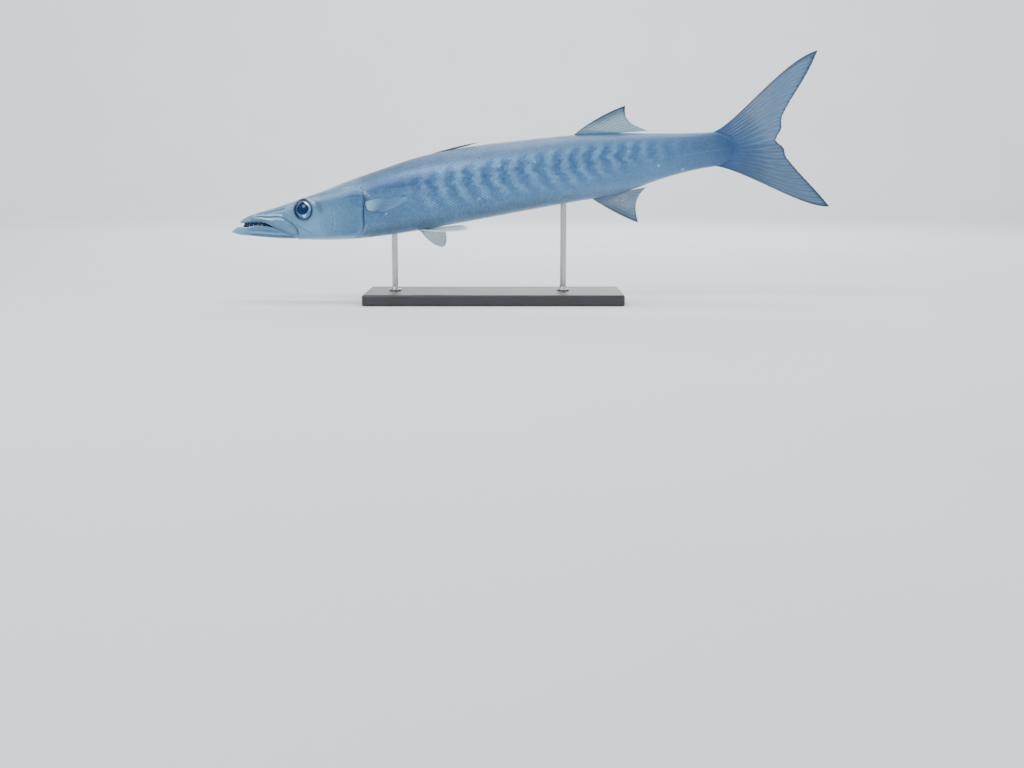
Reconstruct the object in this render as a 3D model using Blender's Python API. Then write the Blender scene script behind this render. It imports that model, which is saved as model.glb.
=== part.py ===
"""A life-size barracuda held by a plain display stand, in metres, with +Z up.

The fish is shaped in its own straight frame: s runs back from the tip of the lower jaw, y to its right and z up
from its axis. place() then bends that frame into the swimming pose, with the head at -X, a little lower than the
tail. The origin is the middle of the underside of the stand's base.
"""

import math

import bmesh
import bpy
import numpy as np

GAP = 0.0003

# Pose of the axis: it starts at the tip of the lower jaw and climbs towards the tail.
FORK_LENGTH = 0.900
JAW_TIP_X = -0.430
JAW_TIP_Z = 0.115
HEAD_PITCH = math.radians(12.2)
TAIL_PITCH = math.radians(6.0)
SWING_START = 0.42
TAIL_SWING = 0.014

# Side outline, half width and height of the widest line, each as (s, value) stations.
BACK = [
    (0.000, 0.0010),
    (0.010, 0.0075),
    (0.0195, 0.0140),
    (0.030, 0.0180),
    (0.048, 0.0205),
    (0.081, 0.0240),
    (0.122, 0.0293),
    (0.187, 0.0395),
    (0.254, 0.0500),
    (0.320, 0.0592),
    (0.386, 0.0620),
    (0.500, 0.0585),
    (0.579, 0.0545),
    (0.643, 0.0480),
    (0.706, 0.0398),
    (0.756, 0.0335),
    (0.800, 0.0302),
    (0.832, 0.0300),
]
BELLY = [
    (0.000, -0.0015),
    (0.010, -0.0072),
    (0.025, -0.0120),
    (0.056, -0.0215),
    (0.106, -0.0350),
    (0.157, -0.0460),
    (0.202, -0.0525),
    (0.250, -0.0560),
    (0.310, -0.0575),
    (0.432, -0.0560),
    (0.563, -0.0525),
    (0.610, -0.0512),
    (0.661, -0.0455),
    (0.700, -0.0370),
    (0.740, -0.0302),
    (0.780, -0.0262),
    (0.832, -0.0262),
]
HALF_WIDTH = [
    (0.000, 0.0012),
    (0.006, 0.0042),
    (0.0195, 0.0078),
    (0.035, 0.0104),
    (0.060, 0.0140),
    (0.090, 0.0190),
    (0.122, 0.0246),
    (0.160, 0.0300),
    (0.225, 0.0372),
    (0.290, 0.0425),
    (0.360, 0.0445),
    (0.450, 0.0430),
    (0.550, 0.0385),
    (0.630, 0.0320),
    (0.700, 0.0240),
    (0.760, 0.0168),
    (0.805, 0.0100),
    (0.832, 0.0038),
]
WIDEST = [
    (0.000, -0.0005),
    (0.020, 0.0030),
    (0.050, 0.0000),
    (0.085, -0.0050),
    (0.122, -0.0070),
    (0.160, -0.0060),
    (0.225, -0.0030),
    (0.400, 0.0020),
    (0.600, 0.0000),
    (0.832, 0.0015),
]
# Power of the section curve above and below the widest line: 1 is an ellipse, less is boxier.
TOP_POWER = [(0.000, 0.80), (0.060, 0.72), (0.122, 0.70), (0.220, 0.84), (0.320, 0.92), (0.832, 0.94)]
BOTTOM_POWER = [(0.000, 0.90), (0.080, 0.92), (0.160, 0.98), (0.260, 0.94), (0.832, 0.94)]

# Mouth: the edge of the upper lip, the top edge of the lower jaw, and the cut behind the jaw that they both join.
UPPER_LIP = [
    (0.0195, 0.0102),
    (0.030, 0.0090),
    (0.044, 0.0070),
    (0.059, 0.0030),
    (0.072, -0.0062),
    (0.0865, -0.0180),
    (0.100, -0.0285),
    (0.110, -0.0365),
    (0.125, -0.0600),
]
LOWER_LIP = [
    (0.000, 0.0002),
    (0.007, 0.0038),
    (0.014, 0.0050),
    (0.025, 0.0018),
    (0.044, 0.0008),
    (0.058, -0.0030),
    (0.072, -0.0084),
    (0.0865, -0.0192),
    (0.100, -0.0296),
    (0.108, -0.0358),
]
SNOUT_TIP = 0.0195
JAW_END = 0.1065
JAW_INSET = 0.0006
LIP_BULGE = 0.0007
LIP_BAND = 0.0026
PALATE_RISE = 0.0022
TROUGH_DEPTH = 0.0026
GAPE_END = 0.080

# Gill opening: how far back the head reaches at each height.
GILL_MARGIN = [
    (-0.0560, 0.1880),
    (-0.0490, 0.1985),
    (-0.0440, 0.2095),
    (-0.0350, 0.2165),
    (-0.0170, 0.2210),
    (-0.0030, 0.2240),
    (0.0080, 0.2270),
    (0.0180, 0.2275),
    (0.0300, 0.2235),
    (0.0460, 0.2190),
]
GILL_FRONT = [(-66, 0.1500), (-48, 0.1680), (-30, 0.1775), (0, 0.1820), (30, 0.1790)]
GILL_LOW_ANGLE = -66
GILL_HIGH_ANGLE = 30
GILL_EDGE_THICKNESS = 0.0018
GILL_FRONT_THICKNESS = 0.0008
GILL_FLARE = 0.0009
GILL_STEP = 0.0006
GILL_STEP_LENGTH = 0.018

# Upper jaw bone: the plate that lies along the side of the mouth.
MAXILLA_TOP = [
    (0.030, 0.0150),
    (0.047, 0.0148),
    (0.060, 0.0104),
    (0.071, 0.0078),
    (0.082, 0.0060),
    (0.090, 0.0022),
    (0.097, -0.0040),
    (0.1045, -0.0118),
    (0.1082, -0.0190),
]
MAXILLA_BOTTOM = [
    (0.030, 0.0110),
    (0.047, 0.0078),
    (0.060, 0.0040),
    (0.072, -0.0050),
    (0.0865, -0.0172),
    (0.096, -0.0245),
    (0.103, -0.0275),
    (0.1082, -0.0255),
]
MAXILLA_THICKNESS = 0.0016

# Eyes and nostrils.
EYE_S = 0.1260
EYE_Z = 0.0106
EYE_LENGTH = 0.0137
EYE_HEIGHT = 0.0152
EYE_DEPTH = 0.0085
EYE_PROUD = 0.0034
EYE_UP_TILT = math.radians(14)
EYE_FORWARD_TILT = math.radians(9)
RIM_MARGIN = 0.0014
RIM_TUBE = 0.0014
RIM_SINK = 0.0005
NOSTRILS = [(0.0965, 0.0212, 0.0011), (0.1010, 0.0216, 0.0016)]

# Where the body is parted across.
WAIST_FRONT = 0.405
WAIST_REAR = 0.610
STALK_END = 0.832
STALK_END_SWEEP = 0.031

# Teeth: (s of the first, s of the last, how many on each side, length).
LOWER_TEETH = (0.016, 0.066, 8, 0.0040)
UPPER_TEETH = (0.027, 0.068, 8, 0.0034)
LOWER_FANG = (0.0085, 0.0052)
UPPER_FANG = (0.0225, 0.0048)
TOOTH_ASPECT = 0.30
TOOTH_ROOT = 0.0014

# Stand.
BASE_SIZE = (0.420, 0.170, 0.018)
BASE_BEVEL = 0.003
ROD_RADIUS = 0.005
ROD_PLACES = (0.262, 0.545)
ROD_SIDES = 16


# Section angles of the points of half a ring, in degrees: dense under the throat, where the mouth's rings turn in.
THROAT_ANGLE = -65
SIDE_POINTS = 15
RING_ANGLES = np.concatenate([np.linspace(90, THROAT_ANGLE, SIDE_POINTS), np.linspace(THROAT_ANGLE, -90, 7)[1:]])


def smooth_line(stations):
    """A function through (place, value) stations: cubic pieces whose slopes come from the stations beside them."""
    places, values = np.array(stations, float).T
    slopes = np.gradient(values, places)

    def value_at(place):
        place = np.clip(np.asarray(place, float), places[0], places[-1])
        i = np.clip(np.searchsorted(places, place) - 1, 0, len(places) - 2)
        width = places[i + 1] - places[i]
        t = (place - places[i]) / width
        start = (1 + 2 * t) * (1 - t) ** 2 * values[i] + t * (1 - t) ** 2 * width * slopes[i]
        end = t * t * (3 - 2 * t) * values[i + 1] + t * t * (t - 1) * width * slopes[i + 1]
        return start + end

    return value_at


back, belly, half_width, widest = map(smooth_line, (BACK, BELLY, HALF_WIDTH, WIDEST))
top_power, bottom_power = map(smooth_line, (TOP_POWER, BOTTOM_POWER))
upper_lip, lower_lip = map(smooth_line, (UPPER_LIP, LOWER_LIP))
margin_line, gill_front = map(smooth_line, (GILL_MARGIN, GILL_FRONT))


def place(points):
    """Points (s, y, z) of the straight frame, bent into the pose: the pitch changes evenly along the axis, and the
    tail swings to the fish's left."""
    s, y, z = np.moveaxis(np.asarray(points, float), -1, 0)
    rate = (TAIL_PITCH - HEAD_PITCH) / FORK_LENGTH
    pitch = HEAD_PITCH + rate * s
    axis_x = JAW_TIP_X + (np.sin(pitch) - math.sin(HEAD_PITCH)) / rate
    axis_z = JAW_TIP_Z - (np.cos(pitch) - math.cos(HEAD_PITCH)) / rate
    share = np.clip((s - SWING_START) / (FORK_LENGTH - SWING_START), 0, None)
    yaw = np.arctan(-2 * TAIL_SWING * share / (FORK_LENGTH - SWING_START))
    along = -y * np.sin(yaw)
    x = axis_x + along * np.cos(pitch) - z * np.sin(pitch)
    up = axis_z + along * np.sin(pitch) + z * np.cos(pitch)
    return np.stack([x, y * np.cos(yaw) - TAIL_SWING * share**2, up], -1)


def section(s, angle, out=0.0):
    """Points of the whole closed-mouthed fish at s and at section angles in degrees, moved outwards by out."""
    s, angle, out = np.broadcast_arrays(np.asarray(s, float), np.asarray(angle, float), np.asarray(out, float))
    c, n = np.cos(np.radians(angle)), np.sin(np.radians(angle))
    power = np.where(n > 0, top_power(s), bottom_power(s))
    reach = np.where(n > 0, back(s) - widest(s), widest(s) - belly(s))
    y = half_width(s) * np.sign(c) * np.abs(c) ** power + out * c
    z = widest(s) + reach * np.sign(n) * np.abs(n) ** power + out * n
    return np.stack([s, y, z], -1)


def angle_at(s, z):
    """The section angle in degrees at which the section has the height z."""
    rise = z - widest(s)
    reach = np.where(rise > 0, back(s) - widest(s), widest(s) - belly(s))
    power = np.where(rise > 0, top_power(s), bottom_power(s))
    share = np.clip(np.abs(rise) / reach, 0, 1) ** (1 / power)
    return np.degrees(np.arcsin(share)) * np.sign(rise)


def side_point(s, z, out=0.0):
    """The point of the fish's right side at s and z, moved outwards by out."""
    return section(s, angle_at(s, z), out)


def underside(s, y):
    """The height of the fish's underside at s and y."""
    cosine = np.clip(np.abs(y) / half_width(s), 0, 1) ** (1 / bottom_power(s))
    return widest(s) - (widest(s) - belly(s)) * np.sqrt(1 - cosine**2) ** bottom_power(s)


def step(low, high, value):
    """0 below low, 1 above high, and a smooth rise between."""
    t = np.clip((value - low) / (high - low), 0, 1)
    return t * t * (3 - 2 * t)


def gill_margin(angles, out=0.0):
    """s of the gill opening at each section angle, for a surface moved outwards by out."""
    s = np.full_like(np.asarray(angles, float), 0.22)
    for _ in range(12):
        s = margin_line(section(s, angles, out)[..., 2])
    return s


def material(name, colour, roughness, metallic=0.0):
    """A Principled BSDF of one colour."""
    made = bpy.data.materials.new(name)
    made.use_nodes = True
    shader = made.node_tree.nodes["Principled BSDF"]
    shader.inputs["Base Color"].default_value = (*colour, 1.0)
    shader.inputs["Roughness"].default_value = roughness
    shader.inputs["Metallic"].default_value = metallic
    return made


def mesh_object(name, points, faces, finish, smooth=True):
    """One mesh object from points already in the row frame, with its faces turned outwards."""
    mesh = bpy.data.meshes.new(name)
    mesh.from_pydata(np.asarray(points, float).reshape(-1, 3).tolist(), [], np.asarray(faces).tolist())
    work = bmesh.new()
    work.from_mesh(mesh)
    bmesh.ops.recalc_face_normals(work, faces=work.faces)
    if work.calc_volume(signed=True) < 0:
        bmesh.ops.reverse_faces(work, faces=work.faces)
    work.to_mesh(mesh)
    work.free()
    if smooth:
        mesh.shade_smooth()
        mesh.set_sharp_from_angle(angle=math.radians(40))
    mesh.materials.append(finish)
    made = bpy.data.objects.new(name, mesh)
    bpy.context.scene.collection.objects.link(made)
    return made


def loft(name, halves, finish):
    """A closed body from half rings, each running from its top centre down the right side to its bottom centre. The
    left half mirrors them, and each end is closed by rungs between mirrored points."""
    halves = np.asarray(halves, float)
    rings, half = halves.shape[:2]
    mirrored = halves[:, -2:0:-1] * np.array([1, -1, 1])
    points = np.concatenate([halves, mirrored], axis=1)
    around = 2 * (half - 1)
    i, j = np.meshgrid(np.arange(rings - 1), np.arange(around), indexing="ij")
    a, b = (i * around + j).ravel(), (i * around + (j + 1) % around).ravel()
    c, d = b + around, a + around
    faces = np.concatenate([np.stack([a, b, c], 1), np.stack([a, c, d], 1)])
    left = (around - np.arange(half)) % around
    rung = np.arange(half - 1)
    ladder = np.concatenate(
        [np.stack([rung, rung + 1, left[rung + 1]], 1), np.stack([rung, left[rung + 1], left[rung]], 1)]
    )
    ladder = ladder[(ladder[:, 0] != ladder[:, 2]) & (ladder[:, 1] != ladder[:, 2])]
    faces = np.concatenate([faces, ladder, ladder + (rings - 1) * around])
    return mesh_object(name, place(points), faces, finish)


def sheet(name, front, rear, finish):
    """A closed thin body between two grids of points alike in shape, split into triangles alike on both faces."""
    front, rear = np.asarray(front, float), np.asarray(rear, float)
    rows, columns = front.shape[:2]
    count = rows * columns
    index = np.arange(count).reshape(rows, columns)
    a, b, c, d = index[:-1, :-1].ravel(), index[:-1, 1:].ravel(), index[1:, 1:].ravel(), index[1:, :-1].ravel()
    skin = np.concatenate([np.stack([a, b, c], 1), np.stack([a, c, d], 1)])
    edge = np.concatenate([index[0], index[1:, -1], index[-1, -2::-1], index[-2:0:-1, 0]])
    following = np.roll(edge, -1)
    wall = np.concatenate(
        [np.stack([edge, following, following + count], 1), np.stack([edge, following + count, edge + count], 1)]
    )
    faces = np.concatenate([skin, skin[:, ::-1] + count, wall])
    points = np.concatenate([front.reshape(-1, 3), rear.reshape(-1, 3)])
    return mesh_object(name, place(points), faces, finish)


def bezier(corners, t):
    """Points at the shares t of a cubic curve with four corner points."""
    a, b, c, d = (np.asarray(p, float) for p in corners)
    t = np.asarray(t, float)[..., None]
    return a * (1 - t) ** 3 + 3 * b * t * (1 - t) ** 2 + 3 * c * t * t * (1 - t) + d * t**3


def straight(start, end):
    """The corner points of a straight cubic curve."""
    start, end = np.asarray(start, float), np.asarray(end, float)
    return [start, start + (end - start) / 3, start + (end - start) * 2 / 3, end]


def patch(first_ray, last_ray, root, tips, rows, columns):
    """A grid of points between four edge curves, rows along the rays and columns across them. root is a function of
    the share across, and the other three are corner points. It is a Coons patch."""
    u = np.linspace(0, 1, rows)[:, None, None]
    v = np.linspace(0, 1, columns)[None, :, None]
    first = bezier(first_ray, u[:, 0, 0])[:, None]
    last = bezier(last_ray, u[:, 0, 0])[:, None]
    low, high = root(v[0, :, 0])[None], bezier(tips, v[0, :, 0])[None]
    corners = (
        (1 - u) * (1 - v) * low[:, :1]
        + (1 - u) * v * low[:, -1:]
        + u * (1 - v) * high[:, :1]
        + u * v * high[:, -1:]
    )
    return (1 - v) * first + v * last + (1 - u) * low + u * high - corners


def ray_thickness(rows, rays, root, tip, ridge, spine):
    """Half the thickness of a fin at each grid point: a membrane that thins from root to tip, a ridge on every ray
    and a stouter first ray. Columns alternate between rays and the membrane between them."""
    u = np.linspace(0, 1, rows)[:, None]
    membrane = root + (tip - root) * u
    on_ray = (np.arange(2 * rays - 1) % 2 == 0).astype(float)
    on_ray[0] = 1 + spine / ridge
    return membrane / 2 + ridge * on_ray * (1 - 0.75 * u)


def straight_root(start, end):
    """A root line between two points, as a function of the share along it."""
    start, end = np.asarray(start, float), np.asarray(end, float)
    return lambda v: start + (end - start) * np.asarray(v, float)[:, None]


def median_fin(name, finish, rays, rows, grid, root=0.0024, tip=0.0006, ridge=0.0005, spine=0.0005):
    """A fin in the fish's middle plane from a grid of (s, 0, z) points."""
    half = ray_thickness(rows, rays, root, tip, ridge, spine)
    side = np.stack([np.zeros_like(half), half, np.zeros_like(half)], -1)
    return sheet(name, grid + side, grid - side, finish)


def upper_head(finish):
    """The head without its lower jaw and gill covers, from the snout to the gill opening."""
    near_tip = SNOUT_TIP + (0.028 - SNOUT_TIP) * np.linspace(0, 1, 5) ** 1.6
    stations = np.concatenate([near_tip, np.linspace(0.033, 0.150, 19)])
    halves = []
    for s in stations:
        lip = float(upper_lip(s))
        corner = float(np.clip(angle_at(s, lip), THROAT_ANGLE, 60))
        angles = np.concatenate([np.linspace(90, corner, SIDE_POINTS), np.linspace(corner, -90, 7)[1:]])
        ring = section(s, angles)
        mouth = 1 - step(GAPE_END, UPPER_LIP[-2][0], s)
        near_lip = np.clip(1 - np.abs(ring[:, 2] - lip - LIP_BAND / 2) / LIP_BAND, 0, 1) * mouth
        ring[:, 1] += LIP_BULGE * near_lip * (ring[:, 1] > LIP_BULGE)
        edge = ring[SIDE_POINTS - 1, 1]
        inner = ring[SIDE_POINTS:]
        below = inner[:, 2] < lip
        inner[:, 1] = np.where(below, np.minimum(inner[:, 1], edge * np.linspace(1, 0, 7)[1:]), inner[:, 1])
        inner[:, 2] = np.where(below, lip, inner[:, 2])
        inner[:, 2] += PALATE_RISE * mouth * np.clip(1 - (inner[:, 1] / edge) ** 2, 0, 1) * below
        halves.append(ring)
    nose = halves[0].copy()
    centre = np.array([0, 0, (nose[0, 2] + nose[-1, 2]) / 2])
    nose[:, 1:] = centre[1:] + (nose[:, 1:] - centre[1:]) * 0.45
    nose[:, 0] -= 0.0011
    halves.insert(0, nose)
    covered = step(GILL_LOW_ANGLE - 14, GILL_LOW_ANGLE, RING_ANGLES) * (
        1 - step(GILL_HIGH_ANGLE, GILL_HIGH_ANGLE + 14, RING_ANGLES)
    )
    for share in np.linspace(0, 1, 8)[1:]:
        sunk = -(GILL_EDGE_THICKNESS + GAP) * covered * step(0.15, 0.9, share)
        s = stations[-1] + (gill_margin(RING_ANGLES, sunk) - stations[-1]) * share
        halves.append(section(s, RING_ANGLES, sunk))
    return loft("head", halves, finish)


def lower_jaw(finish):
    """The lower jaw, its top hollowed into a trough, from its protruding tip to the corner of the mouth."""
    near_tip = 0.010 * np.linspace(0, 1, 6) ** 1.8
    stations = np.concatenate([near_tip, np.linspace(0.014, JAW_END, 16)])
    halves = []
    for s in stations:
        lip = float(lower_lip(s))
        corner = float(np.clip(angle_at(s, lip), -80, 60))
        edge = section(s, corner, -JAW_INSET)
        lid = np.linspace(0, 1, 5)[:-1, None] * np.array([0, 1, 0]) * edge[1] + np.array([s, 0, lip])
        fall = TROUGH_DEPTH * (1 - (lid[:, 1] / edge[1]) ** 2) * step(0.003, 0.014, s) * (1 - step(0.08, 0.1, s))
        lid[:, 2] -= fall
        arc = section(s, np.linspace(corner, -90, 10), -JAW_INSET)
        near_lip = np.clip(1 - np.abs(lip - arc[:, 2] - LIP_BAND / 2) / LIP_BAND, 0, 1)
        arc[:, 1] += LIP_BULGE * near_lip * (1 - step(0.06, GAPE_END, s)) * (arc[:, 1] > LIP_BULGE)
        arc[:, 2] = np.minimum(arc[:, 2], lip)
        arc[-1, 1] = 0.0
        halves.append(np.concatenate([lid, arc]))
    return loft("jaw_lower", halves, finish)


def trunk_piece(name, start, end, rings, sunk, finish):
    """A length of the body between its end surfaces, given as s at each ring angle, or as plain numbers. Its front
    edge is sunk by sunk, which fades out over GILL_STEP_LENGTH."""
    halves = []
    for share in np.linspace(0, 1, rings):
        s = start + (end - start) * share + np.zeros_like(RING_ANGLES)
        halves.append(section(s, RING_ANGLES, -sunk * (1 - step(0, GILL_STEP_LENGTH, s - start))))
    for half in halves:
        half[0, 1] = half[-1, 1] = 0.0
    return loft(name, halves, finish)


def stalk_end(angles):
    """s of the rear edge of the tail stalk at each section angle: farthest back at mid height."""
    return STALK_END - STALK_END_SWEEP * np.abs(np.sin(np.radians(angles))) ** 2.2


def gill_cover(name, side, finish):
    """The plate over the gills on one side: thin in front, thickest at its free rear edge, which stands proud."""
    angles = np.linspace(GILL_LOW_ANGLE, GILL_HIGH_ANGLE, 13)[None]
    share = np.linspace(0, 1, 8)[:, None]
    s = gill_front(angles) + (gill_margin(angles) - gill_front(angles)) * share
    ramp = (s - 0.150) / (gill_margin(angles) - 0.150)
    inner = -(GILL_EDGE_THICKNESS + GAP) * step(0.15, 0.9, ramp) + GAP
    rim = np.minimum(1, np.minimum(angles - GILL_LOW_ANGLE, GILL_HIGH_ANGLE - angles) / 10)
    thickness = GILL_FRONT_THICKNESS + (GILL_EDGE_THICKNESS + GILL_FLARE - GILL_FRONT_THICKNESS) * share * rim
    turn = np.array([1, side, 1])
    return sheet(name, section(s, angles, inner + thickness) * turn, section(s, angles, inner) * turn, finish)


def maxilla(name, side, finish):
    """The upper jaw bone of one side, a plate that widens to a rounded end behind the corner of the mouth."""
    top, bottom = smooth_line(MAXILLA_TOP), smooth_line(MAXILLA_BOTTOM)
    s = np.linspace(MAXILLA_TOP[0][0], MAXILLA_TOP[-1][0], 15)[:, None]
    across = np.linspace(0, 1, 5)[None]
    z = bottom(s) + (top(s) - bottom(s)) * across
    rounded = np.sqrt(np.clip(1 - (2 * across - 1) ** 2, 0.12, 1)) * np.ones_like(s)
    turn = np.array([1, side, 1])
    inner = LIP_BULGE + GAP
    return sheet(
        name, side_point(s, z, inner + MAXILLA_THICKNESS * rounded) * turn, side_point(s, z, inner) * turn, finish
    )


def eye_frame(side):
    """The middle of the eye's opening on one side, and its axes: back along the head, up, and outwards."""
    centre = side_point(EYE_S, EYE_Z) * np.array([1, side, 1])
    out = np.array(
        [
            -math.sin(EYE_FORWARD_TILT),
            side * math.cos(EYE_FORWARD_TILT) * math.cos(EYE_UP_TILT),
            math.cos(EYE_FORWARD_TILT) * math.sin(EYE_UP_TILT),
        ]
    )
    along = np.cross([0, 0, 1], out)
    along *= np.sign(along[0]) / np.linalg.norm(along)
    up = np.cross(out, along)
    return centre, along, up * np.sign(up[2]), out


def ball(name, centre, axes, radii, finish, segments=22, rows=9):
    """A closed ellipsoid in the straight frame, with its poles on the third axis."""
    turn = np.linspace(0, 2 * np.pi, segments, endpoint=False)
    tilt = np.linspace(0, np.pi, rows + 1)[1:-1]
    ring = np.stack(
        [
            np.outer(np.sin(tilt), np.cos(turn)) * radii[0],
            np.outer(np.sin(tilt), np.sin(turn)) * radii[1],
            np.outer(np.cos(tilt), np.ones_like(turn)) * radii[2],
        ],
        -1,
    ).reshape(-1, 3)
    local = np.concatenate([ring, [[0, 0, radii[2]], [0, 0, -radii[2]]]])
    points = np.asarray(centre) + local @ np.asarray(axes)
    top, bottom = len(local) - 2, len(local) - 1
    faces = []
    for j in range(segments):
        k = (j + 1) % segments
        faces.append((top, j, k))
        faces.append((bottom, (rows - 2) * segments + k, (rows - 2) * segments + j))
        for i in range(rows - 2):
            a, b = i * segments + j, i * segments + k
            faces.append((a, a + segments, b + segments))
            faces.append((a, b + segments, b))
    return mesh_object(name, place(points), faces, finish)


def eye_ball(name, side, finish, grow=0.0):
    """The eye of one side, or its socket where grow is above 0."""
    centre, along, up, out = eye_frame(side)
    middle = centre + out * (EYE_PROUD - EYE_DEPTH)
    radii = (EYE_LENGTH + grow, EYE_HEIGHT + grow, EYE_DEPTH + grow)
    return ball(name, middle, (along, up, out), radii, finish)


def eye_rim(name, side, finish):
    """The raised rim of the orbit: a ring that follows the side of the head."""
    turn = np.linspace(0, 2 * np.pi, 22, endpoint=False)
    tube = np.linspace(0, 2 * np.pi, 6)[:-1]
    s = EYE_S + np.cos(turn)[:, None] * (EYE_LENGTH + RIM_MARGIN + RIM_TUBE * np.cos(tube))
    z = EYE_Z + np.sin(turn)[:, None] * (EYE_HEIGHT + RIM_MARGIN - 0.0015 + RIM_TUBE * np.cos(tube))
    out = RIM_TUBE * np.sin(tube)[None] - RIM_SINK
    points = side_point(s, z, out + np.zeros_like(s)) * np.array([1, side, 1])
    rings, around = s.shape
    faces = []
    for i in range(rings):
        for j in range(around):
            a, b = i * around + j, i * around + (j + 1) % around
            c, d = (i + 1) % rings * around + (j + 1) % around, (i + 1) % rings * around + j
            faces += [(a, b, c), (a, c, d)]
    return mesh_object(name, place(points), faces, finish)


def tooth(name, root, length, finish):
    """A flat pointed tooth with its root sunk into the jaw. A negative length points it down."""
    root = np.asarray(root, float)
    half = abs(length) * TOOTH_ASPECT
    sink = -math.copysign(TOOTH_ROOT, length)
    ring = [(half, 0, sink), (0, half * 0.6, sink), (-half, 0, sink), (0, -half * 0.6, sink)]
    points = root + np.array([*ring, (half * 0.3, 0, length)])
    faces = [(0, 1, 4), (1, 2, 4), (2, 3, 4), (3, 0, 4), (0, 3, 2), (0, 2, 1)]
    return mesh_object(name, place(points), faces, finish, smooth=False)


def teeth(lip, row, fang, inset, sign, finish):
    """Both sides' teeth of one jaw, longest in the middle of the row, and its pair of front fangs."""
    first, last, count, length = row
    made = []
    places = [(s, length * (0.75 + 0.35 * math.sin(math.pi * k / (count - 1)))) for k, s in
              enumerate(np.linspace(first, last, count))]
    for s, size in [fang, *places]:
        z = float(lip(s))
        y = float(side_point(s, z)[1]) - inset
        for side in (1, -1):
            made.append(tooth("tooth", (s, side * y, z), sign * size, finish))
    return made


def combine(target, parts, operation):
    """Joins closed parts to the target, or cuts them from it, in one Boolean, then removes the parts."""
    group = bpy.data.collections.new(f"{target.name}_{operation.lower()}")
    bpy.context.scene.collection.children.link(group)
    for part in parts:
        bpy.context.scene.collection.objects.unlink(part)
        group.objects.link(part)
    modifier = target.modifiers.new(operation.lower(), "BOOLEAN")
    modifier.operand_type = "COLLECTION"
    modifier.collection = group
    modifier.operation = operation
    modifier.solver = "MANIFOLD"
    bpy.context.view_layer.update()
    graph = bpy.context.evaluated_depsgraph_get()
    made = bpy.data.meshes.new_from_object(target.evaluated_get(graph))
    target.modifiers.clear()
    target.data = made
    for part in parts:
        bpy.data.objects.remove(part)
    bpy.data.collections.remove(group)
    keep_largest(target.data)


def keep_largest(mesh):
    """Drops all but the largest closed surface of a mesh."""
    work = bmesh.new()
    work.from_mesh(mesh)
    bmesh.ops.triangulate(work, faces=work.faces)
    bmesh.ops.dissolve_degenerate(work, dist=1e-6, edges=work.edges)
    unseen, groups = set(work.faces), []
    while unseen:
        front = [unseen.pop()]
        group = list(front)
        while front:
            face = front.pop()
            for edge in face.edges:
                for other in edge.link_faces:
                    if other in unseen:
                        unseen.discard(other)
                        front.append(other)
                        group.append(other)
        groups.append(group)
    groups.sort(key=lambda group: sum(face.calc_area() for face in group))
    for group in groups[:-1]:
        bmesh.ops.delete(work, geom=group, context="FACES")
    loose = [vertex for vertex in work.verts if not vertex.link_faces]
    bmesh.ops.delete(work, geom=loose, context="VERTS")
    work.to_mesh(mesh)
    work.free()


def dress_head(head, jaw, finish, tooth_finish):
    """Adds the eye rims and teeth to the head and jaw, then cuts the eye sockets and nostrils."""
    rims = [eye_rim("rim", side, finish) for side in (1, -1)]
    combine(head, rims + teeth(upper_lip, UPPER_TEETH, UPPER_FANG, 0.0026, -1, tooth_finish), "UNION")
    combine(jaw, teeth(lower_lip, LOWER_TEETH, LOWER_FANG, 0.0022, 1, tooth_finish), "UNION")
    cutters = [eye_ball("socket", side, finish, GAP) for side in (1, -1)]
    axes = np.eye(3)
    for s, z, radius in NOSTRILS:
        for side in (1, -1):
            centre = side_point(s, z) * np.array([1, side, 1])
            cutters.append(ball("nostril", centre, axes, (radius, radius, radius * 0.8), finish, 10, 6))
    combine(head, cutters, "DIFFERENCE")


def caudal_fin(finish):
    """The forked tail fin as an upper and a lower lobe, parted along its middle."""
    fork = (0.898, 0.0, 0.0055)
    for name, lead, tips, side in (
        (
            "fin_caudal_upper",
            [(0.840, 0, 0.0400), (0.920, 0, 0.1310), (0.9740, 0, 0.1405)],
            [(0.945, 0, 0.0780), (0.912, 0, 0.0640), fork],
            1,
        ),
        (
            "fin_caudal_lower",
            [(0.850, 0, -0.0400), (0.935, 0, -0.1090), (0.9770, 0, -0.1090)],
            [(0.955, 0, -0.0750), (0.915, 0, -0.0350), fork],
            -1,
        ),
    ):
        inner = np.array([STALK_END + GAP, 0, WIDEST[-1][1] + side * GAP])
        shift = np.array([GAP, 0, side * GAP])

        def root(v, side=side, inner=inner, shift=shift):
            angles = side * 90 * (1 - np.asarray(v, float))
            line = section(stalk_end(angles), angles) + shift
            line[:, 1] = 0.0
            line[-1] = inner
            return line

        notch = np.array(fork) + np.array([0, 0, side * GAP])
        lead = [root(np.array([0.0, 1.0]))[0], *lead]
        tips = [lead[-1], *tips[:2], notch]
        grid = patch(lead, straight(inner, notch), root, tips, 9, 19)
        median_fin(name, finish, 10, 9, grid, root=0.0030, tip=0.0006, ridge=0.0006)


def back_root(start, end):
    """The root line of a fin on the back between two values of s."""

    def line(v):
        s = start + (end - start) * np.asarray(v, float)
        return np.stack([s, np.zeros_like(s), back(s) + GAP], -1)

    return line


def belly_root(start, end):
    """The root line of a fin on the belly between two values of s."""

    def line(v):
        s = start + (end - start) * np.asarray(v, float)
        return np.stack([s, np.zeros_like(s), belly(s) - GAP], -1)

    return line


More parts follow.
